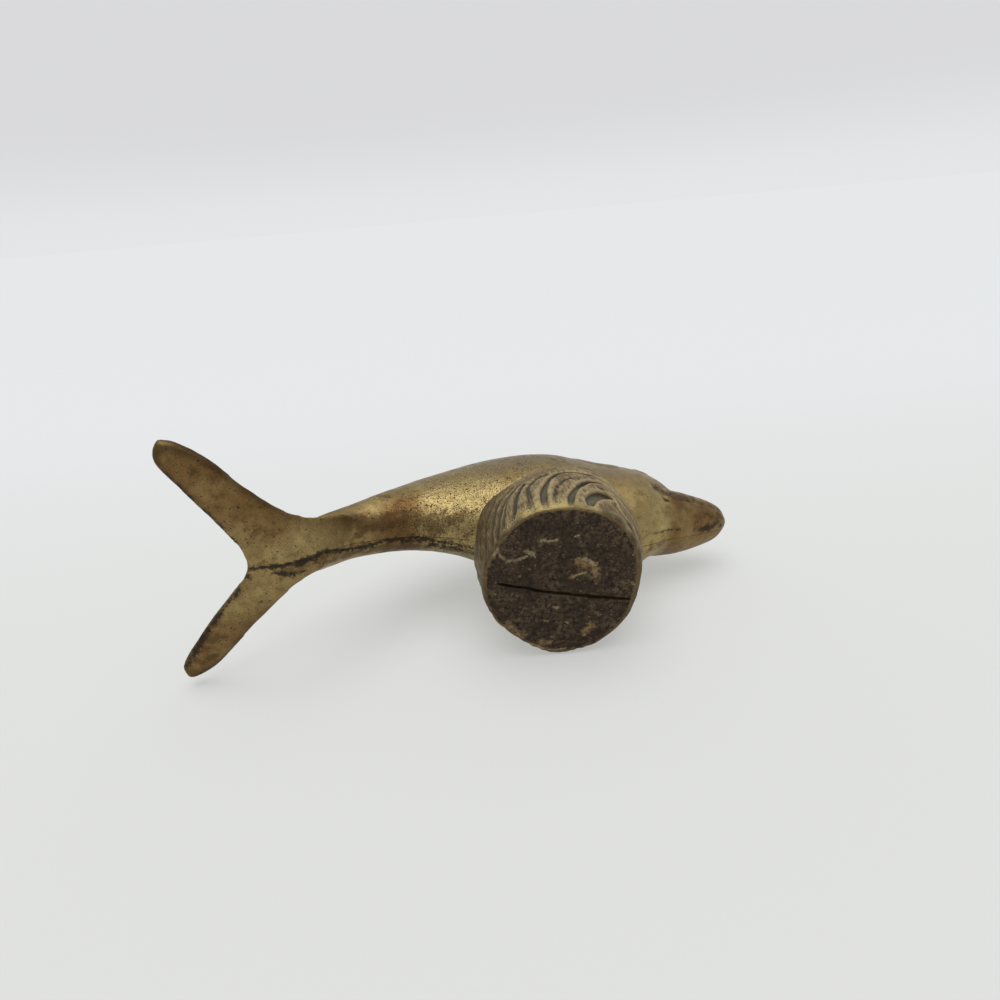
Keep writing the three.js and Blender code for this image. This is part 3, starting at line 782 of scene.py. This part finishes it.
STAINS = [
    (1.8, 0.5, SEAM),
    (2.6, 0.95, [(-49.7, -3.9, 20.8), (-44.8, -4.4, 23.2), (-39.7, -4.9, 25.1),
                 (-34.3, -4.2, 25.3), (-31.6, -3.6, 25.1)]),
    (2.2, 0.85, [(-57, 2.7, 15), (-48, 3.4, 21.5), (-40, 3.1, 23.6), (-30, 3.8, 24.8),
                 (-22, 4, 24.6)]),
    (2.4, 0.85, [(-31, -4.5, 25.6), (-25, -5.5, 26)]),
    (2.4, 0.7, [(-68, 1.6, 6.5), (-63.5, 1.8, 9.8), (-60, 1.2, 12.4)]),
    (1.5, 0.8, [(-84.3, -26.4, 2.4), (-83.6, -25.6, 2.4)]),
    (1.7, 0.8, [(-87.2, 26.6, 2), (-86.2, 25.9, 2)]),
    (3.0, 0.22, [(33.3, -7.7, 31.9), (38.2, -6.8, 33.0), (41.9, -7.5, 35.8)]),
    (1.6, 0.7, [(29.9, 1, 26.7), (32, 1.3, 27.9)]),
    (2.6, 0.5, [(44, -4.6, 35.6), (48, -4.4, 36.6), (53, -3.2, 38.3)]),
    (1.4, 0.6, [(37.5, -9.6, 38.6), (42.8, -8.6, 39.9)]),
    (2.0, 0.8, [(31.5, -12.2, 38.8), (34, -11.2, 38.2), (37, -10.2, 38.2), (40, -9.3, 38.6)]),
    (2.5, 0.45, [(-75, -12, 3.5), (-70, -8, 4.5)]),
    (2.0, 0.5, [(-88, 24, 2), (-84, 19, 2.4)]),
]


EYE_X, EYE_TURN, EYE_RADIUS, LID_GROOVE, LID_RADIUS = 29.5, math.radians(27), 0.8, 1.15, 1.9
THROAT_X, THROAT_REACH, THROAT_DEPTH = 34.5, 5.5, 1.5
# Stretches of x whose skin is smoothed, because forms meet there
BEAK_JOINT, FLUKE_JOINT, TAIL_STOCK, NARROW_STOCK = (27, 47), (-78, -50), (-67, -47), (-64, -50)
MOUTH_SLOPE = 0.26


def dolphin_skin():
    """The whole dolphin in one skin, with its mouth, eyes, creases and casting unevenness."""
    whole = joined([swept(BODY, 160, 260), swept(BEAK, 120, 90), fluke(RIGHT_FLUKE, -1),
                    fluke(LEFT_FLUKE, 1)], "dolphin")
    bm = bmesh.new()
    bm.from_mesh(modified(whole, 'REMESH', mode='VOXEL', voxel_size=0.42, adaptivity=0.0))

    def stretch(*spans):
        return [v for v in bm.verts if any(low < v.co.x < high for low, high in spans)]
    joints, stock = stretch(BEAK_JOINT, FLUKE_JOINT), stretch(TAIL_STOCK)
    eased(bm, bm.verts, 5, 0.5)
    eased(bm, joints, 14, 0.5)
    eased(bm, stock, 12, 0.9)
    eased(bm, stretch(NARROW_STOCK), 16, 0.9)
    skin = mesh_from(bm, "dolphin_skin")
    places, normals = points_of(skin), points_of(skin, "normal")
    x, y, z = places.T
    push = 0.10 * wobble(places, 15, 3) + 0.035 * wobble(places, 4, 8)
    for deep, width, line in both_sides([(0.38, 0.55, MOUTH), (0.32, 1.0, CREASE)]):
        push -= deep * bell(near_line(places, line), width)
    # the filed seam comes and goes
    worn_out = 0.55 + 0.45 * wobble(places * (1, 0, 0), 7, 51)
    for deep, line in ((0.4, SEAM), (0.4, CHIN), (0.15, CHIN_END)):
        push -= deep * worn_out * bell(near_line(places, line), 0.5)
    # the throat is drawn in on the left, and a faint seam follows the back
    throat = THROAT_DEPTH * bell(x - THROAT_X, THROAT_REACH)
    push -= throat * smooth_step(1, 8, y) * smooth_step(40, 32, z)
    push -= 0.12 * smooth_step(0, 4, z - body_at(x)[0]) * bell(y, 0.5)
    m, hw, hd = body_at(EYE_X)
    eye = np.array([EYE_X, -hw * math.cos(EYE_TURN), m + hd * math.sin(EYE_TURN)])
    for side in (1, -1):
        ring = np.linalg.norm(places - eye * (1, side, 1), axis=1)
        push += 0.3 * bell(ring - LID_RADIUS, 0.5) - 0.4 * bell(ring - LID_GROOVE, 0.35)
        push += 0.25 * bell(ring, EYE_RADIUS)
    move_points(skin, places + normals * push[:, None])
    return skin


def mark_dolphin(mesh):
    """Where the brass is aged, pitted, tarnished, grimy and stained, and where a highlight and
    shade are painted on it.
    """
    p = points_of(mesh)
    x, y, z = p.T
    middle, _, half_depth = body_at(x)
    # 1 at the top of the body and -1 at its bottom, and the height above the line of the mouth
    lift = (z - middle) / half_depth
    above_mouth = z - MOUTH[0][2] - MOUTH_SLOPE * (x - MOUTH[0][0])
    on_body = smooth_step(-62, -52, x) * smooth_step(44, 34, x)
    aged = on_body * smooth_step(-28, -12, x)
    aged *= smooth_step(-0.45, 0.2, lift + 0.12 * wobble(p, 9, 91))
    mark(mesh, "aged", aged * (0.3 + 0.6 * smooth_step(30, 16, x)))
    # most pits are on the bright flank behind the wave, and some on the flukes
    pitted = 0.3 + 0.95 * bell(x + 20, 24) + 0.15 * bell(x + 78, 14)
    pitted *= smooth_step(36, 22, x) * 0.8 + 0.2
    mark(mesh, "pitted", pitted + 0.12 * wobble(p, 9, 21), 0.04)
    # the tail and the ends of the flukes, the beak, the tail stock, its underside and the belly
    # are browner, and the right flank is brighter, a highlight painted on its lit side
    tarnish_and_highlight = 0.22 * smooth_step(-44, -58, x) + 0.5 * smooth_step(6, 19, np.abs(y))
    tarnish_and_highlight += 0.78 * smooth_step(32, 37.5, x) * smooth_step(4, -1, above_mouth)
    tarnish_and_highlight += 0.3 * smooth_step(29, 38, x) * smooth_step(-1, 4, above_mouth)
    tarnish_and_highlight += 0.25 * smooth_step(-30, -40, x)
    tarnish_and_highlight += 0.75 * bell(x + 41, 6.5) * smooth_step(0.1, -0.6, lift)
    tarnish_and_highlight += 0.12 * smooth_step(-0.5, -0.95, lift) * on_body
    # painted highlight: the lit right flank is made brighter
    tarnish_and_highlight -= 0.45 * bell(x + 27, 12) * smooth_step(4, -6, y)
    mark(mesh, "tarnish_and_highlight", tarnish_and_highlight + 0.12 * wobble(p, 8, 33))
    # dark seam lines, and painted shade along the mouth line and the crease
    grime = np.maximum(drawn(p, SMEARS),
                       drawn(p, both_sides([(0.5, 0.42, MOUTH), (1.3, 0.6, CREASE)])))
    back_seam = smooth_step(0, 4, z - middle) * smooth_step(0.5, 0.15, np.abs(y))
    mark(mesh, "grime", np.maximum(grime, 0.35 * back_seam))
    stain = drawn(p, STAINS)
    stain += 0.35 * smooth_step(0.35, 0.9, wobble(p, 10, 71)) * smooth_step(32, 25, x)
    on_beak = smooth_step(32, 35, x)
    stain += 0.26 * smooth_step(-0.2, 1.0, above_mouth) * on_beak * smooth_step(55, 48, x)
    mark(mesh, "stain", stain)


def make_dolphin():
    """Both halves of the dolphin and the filler between them."""
    side = Vector((0, 1, 0))
    skin = split_at(dolphin_skin(), [((0, y, 0), side) for y in (-FILM, FILM)])
    mark_edges(skin, 26, 0.32)
    mark_dolphin(skin)
    inner = Vector((0, FILM - 0.01, 0))
    right, left, film = parted(skin, Vector((0, 0, 0)), side, inner, "dolphin")
    set_down(right, "right_dolphin_half", ["right_dolphin_casting"], BODY_BRASS)
    set_down(left, "left_dolphin_half", ["left_dolphin_casting"], BODY_BRASS)
    set_down(film, "dolphin_seam_filler", ["dolphin_seam_braze"], SEAM_METAL)


# ---- Back fin and flippers ----

FIN_MIDDLE, FIN_THICKNESS = -2.0, 4.2
FIN_LEADING = [(12, -4), (10.5, 0.6), (4.2, 5), (-3.5, 9.4), (-8.8, 11.8)]
FIN_TRAILING = [(-11.4, -4), (-10.2, 0.4), (-9.6, 3.4), (-10, 7), (-11.5, 10.8)]
FIN_TIP = (-12.4, 12.4)
# The flippers' root, how far they stand out of the skin, how deep their edge lies in it, and how
# deep their back
FLIPPER_ROOT, FLIPPER_PROUD, FLIPPER_SUNK, FLIPPER_BACK = 22.5, 0.5, 0.25, 1.0
FLIPPER_OUTLINE = np.array([(-0.6, 4), (-4.8, 3.8), (-10.1, 5.7), (-15.5, 10.1), (-10.2, 11.7),
                            (-3.6, 11.6), (1.1, 8.6)])


def mark_plain(mesh, pitted):
    """Even marks for a small piece: middle, swing, size and seed of each."""
    p = points_of(mesh)
    for label, middle, swing, size, seed in (
            ("pitted", pitted, 0.1, 7, 2), ("grime", 0, 0.25, 9, 4), ("stain", 0, 0.4, 9, 24),
            ("tarnish_and_highlight", 0.25, 0.25, 8, 6), ("aged", 0.85, 0.15, 8, 16)):
        mark(mesh, label, middle + swing * wobble(p, size, seed))


def make_fin():
    """The fin on the back, with its root let into the body."""
    bm = blade(FIN_TRAILING, FIN_LEADING, FIN_TIP, FIN_THICKNESS, lambda x: 0 * x, 90, 80)
    top = float(sum(body_at(FIN_MIDDLE)[::2]))
    for vert in bm.verts:
        vert.co = Vector((vert.co.x + FIN_MIDDLE, -vert.co.z, vert.co.y + top))
    bmesh.ops.recalc_face_normals(bm, faces=bm.faces)
    mesh = mesh_from(bm, "back_fin_brass")
    places = points_of(mesh)
    push = 0.06 * wobble(places, 6, 5)
    move_points(mesh, places + points_of(mesh, "normal") * push[:, None])
    mark_edges(mesh, 20, 0.3)
    mark_plain(mesh, 0.4)
    set_down(mesh, "back_fin_blade", ["back_fin"], FIN_BRASS)


def make_flipper(side, name, node):
    """A low flipper on the body's skin, side 1 on the left and -1 on the right."""
    middle = body_at(FLIPPER_ROOT)[0]
    outline = FLIPPER_OUTLINE + (FLIPPER_ROOT, middle)
    centre = outline.mean(0)

    def place(turn, rise):
        reach = np.minimum(1, 2.02 * np.minimum(rise, 1 - rise))
        flat = centre + (round_trip(outline, turn) - centre) * reach[:, None]
        m, hw, hd = body_at(flat[:, 0])
        share = np.clip((flat[:, 1] - m) / hd, -0.99, 0.99)
        skin = hw * np.sqrt(1 - share**2)
        dome = (FLIPPER_PROUD + FLIPPER_SUNK) * np.clip(1 - reach**4, 0, 1) - FLIPPER_SUNK
        out = np.where(rise < 0.5, skin + dome, skin - FLIPPER_BACK)
        return np.stack([flat[:, 0], side * out, flat[:, 1]], -1)
    mesh = mesh_from(wrapped(150, 90, place), name + "_brass")
    mark_edges(mesh, 16, 0.25)
    mark_plain(mesh, 0.3)
    set_down(mesh, name, [node], FIN_BRASS)


# ---- Wave ----

# Each carved stroke on the right side: depth, how soft its sides are, and its points as angle
# from the head end, share of the height, and half width
STROKES = [
    (1.15, 0.28, [(-106.2, -.01, .2), (-107.3, .096, .5), (-107.2, .215, .62), (-106.4, .348, .6),
                 (-104.2, .469, .45), (-101, .606, .2)]),
    (.9, 0.5, [(-101, .606, .3), (-96.6, .69, .4), (-90.4, .735, .55), (-82.8, .735, .6),
               (-72.7, .72, .6), (-63.4, .73, .5), (-53, .78, .35), (-44, .84, .2),
               (-36, .88, .12), (-25, .93, .05)]),
    (1.1, 0.28, [(-90.4, .0, .2), (-91.2, .068, .5), (-90.3, .162, .55), (-87.6, .268, .42),
                  (-83.4, .379, .3)]),
    (1.25, 0.4, [(-83.4, .379, .4), (-79.2, .471, .35), (-72.2, .539, .3), (-65.9, .58, .3),
                 (-60.8, .59, .35), (-53.9, .62, .42), (-44.7, .68, .42), (-36.9, .72, .35),
                 (-27.8, .78, .25)]),
    (.5, 0.65, [(-116.9, .035, .25), (-116.2, .141, .35), (-115.8, .272, .35), (-115.9, .406, .3),
                 (-115.8, .522, .2), (-112.2, .628, .15), (-107.3, .732, .12), (-102.8, .744, .1)]),
    (.38, 0.6, [(-100.2, -.009, .1), (-100.9, .122, .15), (-99.9, .244, .2), (-96.9, .385, .2),
                (-92.5, .498, .15), (-87.8, .54, .1)]),
    (.55, 0.6, [(-154, .05, .15), (-152.1, .23, .15), (-148.9, .345, .2), (-146, .48, .2),
                (-140.6, .657, .2), (-133.9, .742, .15), (-127, .813, .1)]),
    (.55, 0.6, [(-147.5, 0, .15), (-146.5, .112, .2), (-143.5, .223, .2), (-140.3, .341, .2),
                (-135.6, .526, .2), (-128.2, .652, .15), (-122.6, .74, .1)]),
    (.3, 0.45, [(-138.5, .1, .1), (-136, .3, .1), (-132, .5, .1), (-126, .66, .1)]),
    (.65, 0.6, [(-131.5, 0, .2), (-130.6, .104, .25), (-127.9, .213, .25), (-125.9, .376, .25),
                (-123.1, .551, .2), (-118.4, .687, .15)]),
    (.5, 0.6, [(-165, .1, .15), (-162, .3, .2), (-158, .5, .2), (-152, .68, .15), (-144, .8, .12)]),
    (.4, 0.6, [(-175, .2, .1), (-172, .5, .15), (-167, .75, .1)]),
    (1.6, 0.35, [(-78.6, .07, .5), (-77.4, .16, 1.0), (-73.2, .25, 1.25), (-67.4, .32, 1.25),
                 (-62.4, .36, .85)]),
    (.5, 0.35, [(-61.6, .346, .25), (-59.6, .29, .15), (-57.4, .229, .12)]),
    (.4, 0.4, [(-80.5, .059, .12), (-81.1, -.01, .12)]),
    (1.25, 0.45, [(-60, .24, .3), (-54, .17, .6), (-46, .14, .75), (-34, .14, .7),
                  (-20, .22, .4)]),
    (1.6, 0.45, [(-58, .45, .25), (-50, .42, .45), (-38, .44, .5), (-24, .52, .4)]),
    (.6, 0.5, [(-60, .86, .15), (-50, .9, .22), (-40, .92, .22), (-28, .93, .15)]),
    (.3, 0.35, [(-70, .41, .3), (-67, .43, .3)]),
]
# The strokes, counted from 0, that hold pale ash or dark dirt
ASHEN, SOILED = (0, 2, 12), (1, 3, 15, 16, 17)
# The wave's skin closes at the core, inside the body. Its lip ends under the body's skin, and
# its rounding keeps a share of the lip and lies a little higher
CORE = np.array([CREST_MIDDLE, 0, 41.0])
LIP_UNDER, LIP_ROUND, LIP_LIFT = -2.0, 0.55, np.array([0, 0, 1.0])


def carving(angle, share, places):
    """How deep the wave is carved at each place, and where its hollows are ashen or dirty."""
    depth, ashen, soiled = (np.zeros(len(places)) for _ in range(3))
    for number, (deep, soft, points) in enumerate(STROKES):
        a, s, half = np.array(points, float).T
        for side in (1, -1):
            line = wave_face(np.radians(a) * side, s)
            gap = np.maximum(0, near_line(places, line, half))
            cut = deep * (0.62 * np.exp(-(gap / soft) ** 1.5) + 0.38 * np.exp(-gap / (2.4 * soft)))
            depth = np.maximum(depth, cut)
            if number in ASHEN:
                ashen = np.maximum(ashen, bell(gap, 0.22))
            if number in SOILED:
                soiled = np.maximum(soiled, bell(gap, 0.4))
    return depth, ashen, soiled


def around(angle, size, seed, amount):
    """Unevenness along the rim of the base."""
    return amount * wobble(rim(angle, 0.0, 0.0), size, seed)


def part_way(rise, start, length):
    """0 to 1 over a stretch of the rise, as a column."""
    return np.clip((rise - start) / length, 0, 1)[:, None]


def rounded(start, corner, end, w):
    """A curve from start to end that bends at the corner."""
    return start * (1 - w) ** 2 + corner * 2 * w * (1 - w) + end * w**2


def wave_skin():
    """The whole wave in one skin. As it rises, it goes from the middle of the flat underside over
    the worn edge (plate, bevel), up the carved face, over the lip and into the body."""
    plate, bevel, face, lip_end, core_length = 0.06, 0.09, 0.93, 0.975, 0.025
    bm, turn, rise = unrolled(620, 170)
    angle = turn * 2 * math.pi
    share = 0.02 + 0.98 * np.clip((rise - bevel) / (face - bevel), 0, 1)
    on_face = wave_face(angle, share)
    across = wave_face(angle + STEP, share) - wave_face(angle - STEP, share)
    upward = wave_face(angle, share + STEP) - wave_face(angle, share - STEP)
    normal = unit(np.cross(across, upward))
    depth, ashen, soiled = carving(angle, share, on_face)
    fade = smooth_step(1.0, 0.95, share) * smooth_step(-0.06, 0.07, share)
    depth *= fade
    ripple = 0.10 * wobble(on_face, 5, 14) + 0.05 * wobble(on_face * (3, 3, 1), 3, 15)
    on_face = on_face + normal * ((ripple + 0.25) * fade - depth)[:, None]
    # the flat underside, then its worn edge
    ragged = around(angle, 4, 8, 0.2)
    inner = rim(angle, 0.55 + ragged, PAD_THICKNESS)
    corner = rim(angle, 0.3 * ragged, PAD_THICKNESS)
    w = part_way(rise, 0, plate)
    on_plate = inner * w + np.array([0, 0, PAD_THICKNESS]) * (1 - w)
    on_bevel = rounded(inner, corner, on_face, part_way(rise, plate, bevel - plate))
    # the crest's rounded lip, and on into the body
    over = crest(angle, CREST_LIP * LIP_ROUND) + LIP_LIFT
    under = crest(angle, LIP_UNDER)
    on_lip = rounded(crest(angle, CREST_LIP), over, under, part_way(rise, face, lip_end - face))
    w = part_way(rise, lip_end, core_length)
    inside = under * (1 - w) + CORE * w
    band = rise[:, None]
    places = np.where(band < plate, on_plate, np.where(band < bevel, on_bevel,
             np.where(band <= face, on_face, np.where(band < lip_end, on_lip, inside))))

    # marks for the material. Turns are in degrees from the head end, below 0 on the right side
    open_face = (rise > bevel) & (rise < face)
    near_head = smooth_step(-66, -50, np.degrees(angle) - 360 * (turn > 0.5)) * (turn > 0.5)
    share = np.where(rise < bevel, 0, share)
    turn = (np.degrees(angle) + 180) % 360 - 180
    rim_band = bell(share, 0.045)
    reach = 0.08 + 0.05 * smooth_step(-85, -120, turn) + 0.03 * wobble(places, 3, 3)
    rubbed = bell(share, reach) * bell(turn + 104, 25)
    at_tail = smooth_step(-118, -150, turn) * smooth_step(-195, -170, turn)
    at_head = (turn <= 0) * smooth_step(-62, -45, turn)
    dirt = 0.7 * rim_band * (1 - rubbed) + 0.3 * wobble(places, 4, 5)
    dirt += 0.6 * np.where(open_face, soiled * fade, 0)
    # carved: depth of cut, doubled on the right near the head; the material paints shade by it
    layers = {"carved": np.where(open_face, depth / 1.5 * (1 + near_head), 0),
              "ashen": np.where(open_face, ashen * fade, 0),
              "rubbed": np.clip(rubbed + 0.14 * rim_band, 0, 1),
              "shaded": at_tail + (turn > 0) * 0.6 + 0.3 * at_head,
              "soiled": np.clip(dirt, 0, 1)}
    made = {key: bm.verts.layers.float.new(key) for key in layers}
    for i, vert in enumerate(bm.verts):
        vert.co = places[i]
        for key, layer in made.items():
            vert[layer] = layers[key][i]
    mesh = mesh_from(closed_up(bm), "wave_skin")
    mark_edges(mesh, 14, 0.22)
    return mesh


def slit_cutter():
    """The slot left open between the two wave castings, a little ragged."""
    height, cuts, tail_taper = 12, 46, 0.25
    tail, head = RIM[:, 0].min() + SLIT_SHORT_AT_TAIL, RIM[:, 0].max() - SLIT_SHORT_AT_HEAD
    bm = bmesh.new()
    bmesh.ops.create_cube(bm, size=1.0)
    bmesh.ops.scale(bm, verts=bm.verts, vec=(head - tail, 2 * SLIT_HALF, height))
    bmesh.ops.translate(bm, verts=bm.verts, vec=((head + tail) / 2, 0, height / 2 - 1))
    for x in np.linspace(tail + 0.6, head - 0.6, cuts):
        crossed(bm, (x, 0, 0), (1, 0, 0))
    for vert in bm.verts:
        place = np.array([[vert.co.x, 0, 0]])
        inward = min(1.0, (head - vert.co.x) / 4, (vert.co.x - tail) / 4 + tail_taper)
        vert.co.y *= 0.35 + 0.65 * max(0.0, inward) + 0.3 * float(wobble(place, 3.5, 7)[0])
        sag = 1 - ((vert.co.x - 1) / 18) ** 2
        vert.co.y += 0.25 * float(wobble(place, 5, 17)[0]) + 0.5 * sag
    bmesh.ops.rotate(bm, verts=bm.verts, cent=(0, 0, 0), matrix=Matrix.Rotation(BASE_TURN, 3, 'Z'))
    bmesh.ops.translate(bm, verts=bm.verts, vec=SLIT_PLACE)
    bmesh.ops.recalc_face_normals(bm, faces=bm.faces)
    return mesh_from(bm, "slit_cutter")


def slotted(mesh, cutter):
    """The mesh with the slit cut out of it."""
    tool = added("slit_tool", cutter)
    result = modified(mesh, 'BOOLEAN', operation='DIFFERENCE', object=tool, solver='EXACT')
    bpy.data.objects.remove(tool)
    return result


def make_wave(cutter):
    """Both halves of the wave and the filler between them, with the slit cut out of them."""
    side = Vector((-math.sin(BASE_TURN), math.cos(BASE_TURN), 0))
    halves = parted(wave_skin(), SLIT_PLACE, side, side * FILM * 0.95, "wave")
    right, left, film = (slotted(mesh, cutter) for mesh in halves)
    set_down(right, "right_wave_half", ["right_wave_casting"], WAVE_BRASS)
    set_down(left, "left_wave_half", ["left_wave_casting"], WAVE_BRASS)
    set_down(film, "wave_seam_filler", ["wave_seam_braze"], WAVE_FILLER)


# ---- Felt pad ----

# Marks of glue and of metal on the underside: how wide each is, and its line
PALE_MARKS = [
    (0.7, [(-16.6, -10.8), (-14.6, -8.9), (-12, -8.9), (-9.6, -10.2)]),
    (1.0, [(-9.4, -11.4), (-8, -10.8)]),
    (0.6, [(-6.9, -14.7), (-4.5, -14.6), (-2.9, -15)]), (0.45, [(1.2, -16.3), (2.2, -16.5)]),
    (0.5, [(-1.4, 4), (-0.4, 4.2)]), (0.5, [(-3.2, 8.1), (-2.2, 8.6)]),
    (0.4, [(2.4, 8.4), (3, 8.8)]), (0.5, [(17, -4.1), (17.6, -3.6)]),
    (0.5, [(-1, 17.4), (1.5, 17.2), (3.5, 16.6)]),
    (0.8, [(-5.9, 15.8), (-3.5, 16.7), (-1.7, 17.2)]), (0.9, [(4.2, -10.4), (7.0, -9.0)]),
    (0.5, [(2.0, -4.9), (5.2, -6.5)]), (0.8, [(-17.4, -9.8), (-16.4, -11.6)]),
]
GILT_MARKS = [
    (2.3, [(3.6, -9.2), (6.4, -8.6)]), (2.0, [(6.6, -8.2), (7.8, -5.9)]),
    (0.8, [(1.4, -4.6), (5.5, -6.6)]), (1.6, [(7.4, 11.4), (9.0, 9.0)]),
    (0.8, [(9.5, 5), (10.5, 5.6)]), (1.7, [(-9.5, 12.4), (-8, 13.2)]),
    (1.5, [(-12.2, 9.8), (-10.8, 11.4)]), (1.2, [(-3.5, 14.8), (-1, 15.2)]),
]


def make_pad(cutter):
    """The felt: its underside, its edge and its top, closed in the middle of both."""
    under_end, side_length, over_start, over_length = 0.9, 0.04, 0.94, 0.06

    def place(turn, rise):
        angle = turn * 2 * math.pi
        wear = 0.25 * (np.sin(3 * angle) + 0.7 * np.sin(7 * angle)) + around(angle, 2.2, 5, 0.25)
        under = np.clip(rise / under_end, 0, 1)
        side = part_way(rise, under_end, side_length)[:, 0]
        over = part_way(rise, over_start, over_length)[:, 0]
        co = rim(angle, PAD_INSET + wear, 0.0) * (under * (1 - over))[:, None]
        soft = 0.22 * smooth_step(0.9, 1.0, under)
        co[:, 2] = np.where(rise <= under_end, soft, soft + (PAD_THICKNESS - soft) * side)
        return co
    mesh = mesh_from(wrapped(300, 110, place), "pad_felt")
    p = points_of(mesh)
    x, y, z = p.T
    # the rim's own angle for each point, found step by step
    angle = np.arctan2(y, x)
    for _ in range(4):
        edge = rim(angle, PAD_INSET, 0.0)
        angle += np.arctan2(y, x) - np.arctan2(edge[:, 1], edge[:, 0])
    flat = p * (1, 1, 0)
    inward = np.linalg.norm(rim(angle, PAD_INSET, 0.0), axis=1) - np.linalg.norm(flat, axis=1)
    matted = np.where(z < 0.5, 0.06 * (1 + wobble(flat, 1.6, 61)), 0)
    move_points(mesh, p + np.array([0, 0, 1]) * matted[:, None])
    width = 0.8 + 1.1 * smooth_step(10, 18, x) + 1.0 * smooth_step(8, 16, y)
    mark(mesh, "worn", smooth_step(1, 0, inward / width) + 0.2 * wobble(flat, 3, 62))
    ragged = 0.75 + 0.45 * wobble(flat, 1.5, 63)
    for label, marks, strength in (("pale", PALE_MARKS, 0.85), ("gilt", GILT_MARKS, 0.8)):
        rows = [(size, strength, [(*point, 0) for point in line]) for size, line in marks]
        mark(mesh, label, drawn(flat, rows, ragged))
    set_down(slotted(mesh, cutter), "felt_pad", ["base_pad"], FELT)


# ---- Floor, light and camera ----

# The floor faces along FLOOR_UP, a hair under the dolphin. The view is given by its place and by
# its right, its down and its forward
FLOOR_UP = Vector((-0.167, -0.983, 0.075)).normalized()
FLOOR_SIZE, HAIR = 30, 5e-5
LIGHT_FROM, AHEAD = Vector((-0.15, -0.95, 0.02)).normalized(), (0.05, -0.1, 0.99)
VIEW_LENS, VIEW_SENSOR, VIEW_NEAR = 24.49, 36, 0.005
VIEW_PLACE = Vector((-0.012497, -0.093061, -0.136393))
VIEW_RIGHT = Vector((0.99446, -0.09068, -0.05313))
VIEW_DOWN = Vector((0.05689, 0.88954, -0.45331))
VIEW_FORWARD = Vector((0.08836, 0.44778, 0.88977))


def make_floor():
    """A pale floor that the dolphin's left side rests on. From behind it is clear."""
    lowest = min(FLOOR_UP.dot(piece.matrix_world @ v.co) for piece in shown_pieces()
                 if piece.type == 'MESH' for v in piece.data.vertices)
    bm = bmesh.new()
    bmesh.ops.create_grid(bm, x_segments=2, y_segments=2, size=FLOOR_SIZE)
    turn = FLOOR_UP.to_track_quat('Z', 'Y').to_matrix().to_4x4()
    lowered = Matrix.Translation(FLOOR_UP * (lowest - HAIR))
    bmesh.ops.transform(bm, verts=bm.verts, matrix=lowered @ turn)
    floor = added("pale_floor", mesh_from(bm, "pale_floor"))
    material, w, shader = new_material("pale_floor")
    place = w.add('ShaderNodeTexCoord').outputs['Object']
    away = w.add('ShaderNodeSeparateXYZ', {0: place}).outputs['Z']
    colour = w.blend(w.spread(away, -0.06, 0.3), "near floor", "far floor")
    w.fill(shader, {'Base Color': colour, 'Roughness': 0.9, 'Specular IOR Level': 0.1})
    glow = w.add('ShaderNodeEmission', {'Color': colour})
    path = w.add('ShaderNodeLightPath').outputs
    seen = w.most(path['Is Camera Ray'],
                  w.most(path['Is Glossy Ray'], path['Is Transmission Ray']))
    share = w.times(seen, w.spread(away, 0.3, 1.5, 0.5, 1.0))
    lit = w.add('ShaderNodeMixShader', {0: share, 1: shader.outputs[0], 2: glow.outputs[0]})
    clear = w.add('ShaderNodeBsdfTransparent')
    behind = w.add('ShaderNodeNewGeometry').outputs['Backfacing']
    both = w.add('ShaderNodeMixShader', {0: behind, 1: lit.outputs[0], 2: clear.outputs[0]})
    end = next(n for n in w.tree.nodes if n.type == 'OUTPUT_MATERIAL')
    w.fill(end, {'Surface': both.outputs[0]})
    floor.data.materials.append(material)
    floor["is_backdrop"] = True


def make_light():
    """A broad, soft light from above, and a pale room that is darker high up and behind."""
    sun = bpy.data.lights.new("soft_overhead", 'SUN')
    sun.energy = 1.55
    sun.angle = math.radians(62)
    lamp = added("soft_overhead", sun)
    lamp.rotation_mode = 'QUATERNION'
    lamp.rotation_quaternion = LIGHT_FROM.to_track_quat('Z', 'Y')
    world = bpy.data.worlds.new("pale_room")
    world.use_nodes = True
    world.node_tree.nodes.clear()
    w = Wiring(world.node_tree)
    way = w.add('ShaderNodeTexCoord').outputs['Generated']
    ahead, height = w.facing(way, AHEAD), w.facing(way, FLOOR_UP)
    wall = w.blend(w.spread(height, 0.0, 0.13), "low wall", "wall")
    wall = w.mix(w.spread(height, 0.24, 0.5), wall, named_colour("high wall"))
    colour = w.mix(w.spread(ahead, -0.75, 0.35), named_colour("room"), wall)
    back = w.add('ShaderNodeBackground', {'Color': colour, 'Strength': 1.0})
    w.add('ShaderNodeOutputWorld', {'Surface': back.outputs[0]})
    bpy.context.scene.world = world


def make_camera():
    """The camera, close to the underside of the base."""
    data = bpy.data.cameras.new("view")
    data.lens, data.sensor_width, data.clip_start = VIEW_LENS, VIEW_SENSOR, VIEW_NEAR
    camera = added("view", data)
    axes = Matrix((VIEW_RIGHT, -VIEW_DOWN, -VIEW_FORWARD)).transposed().to_4x4()
    camera.matrix_world = Matrix.Translation(VIEW_PLACE) @ axes
    bpy.context.scene.camera = camera


make_camera()
slit = slit_cutter()
make_dolphin()
make_fin()
make_flipper(-1, "right_flipper_relief", "right_flipper")
make_flipper(1, "left_flipper_relief", "left_flipper")
make_wave(slit)
make_pad(slit)
make_floor()
make_light()
bpy.context.scene.view_settings.view_transform = 'Standard'
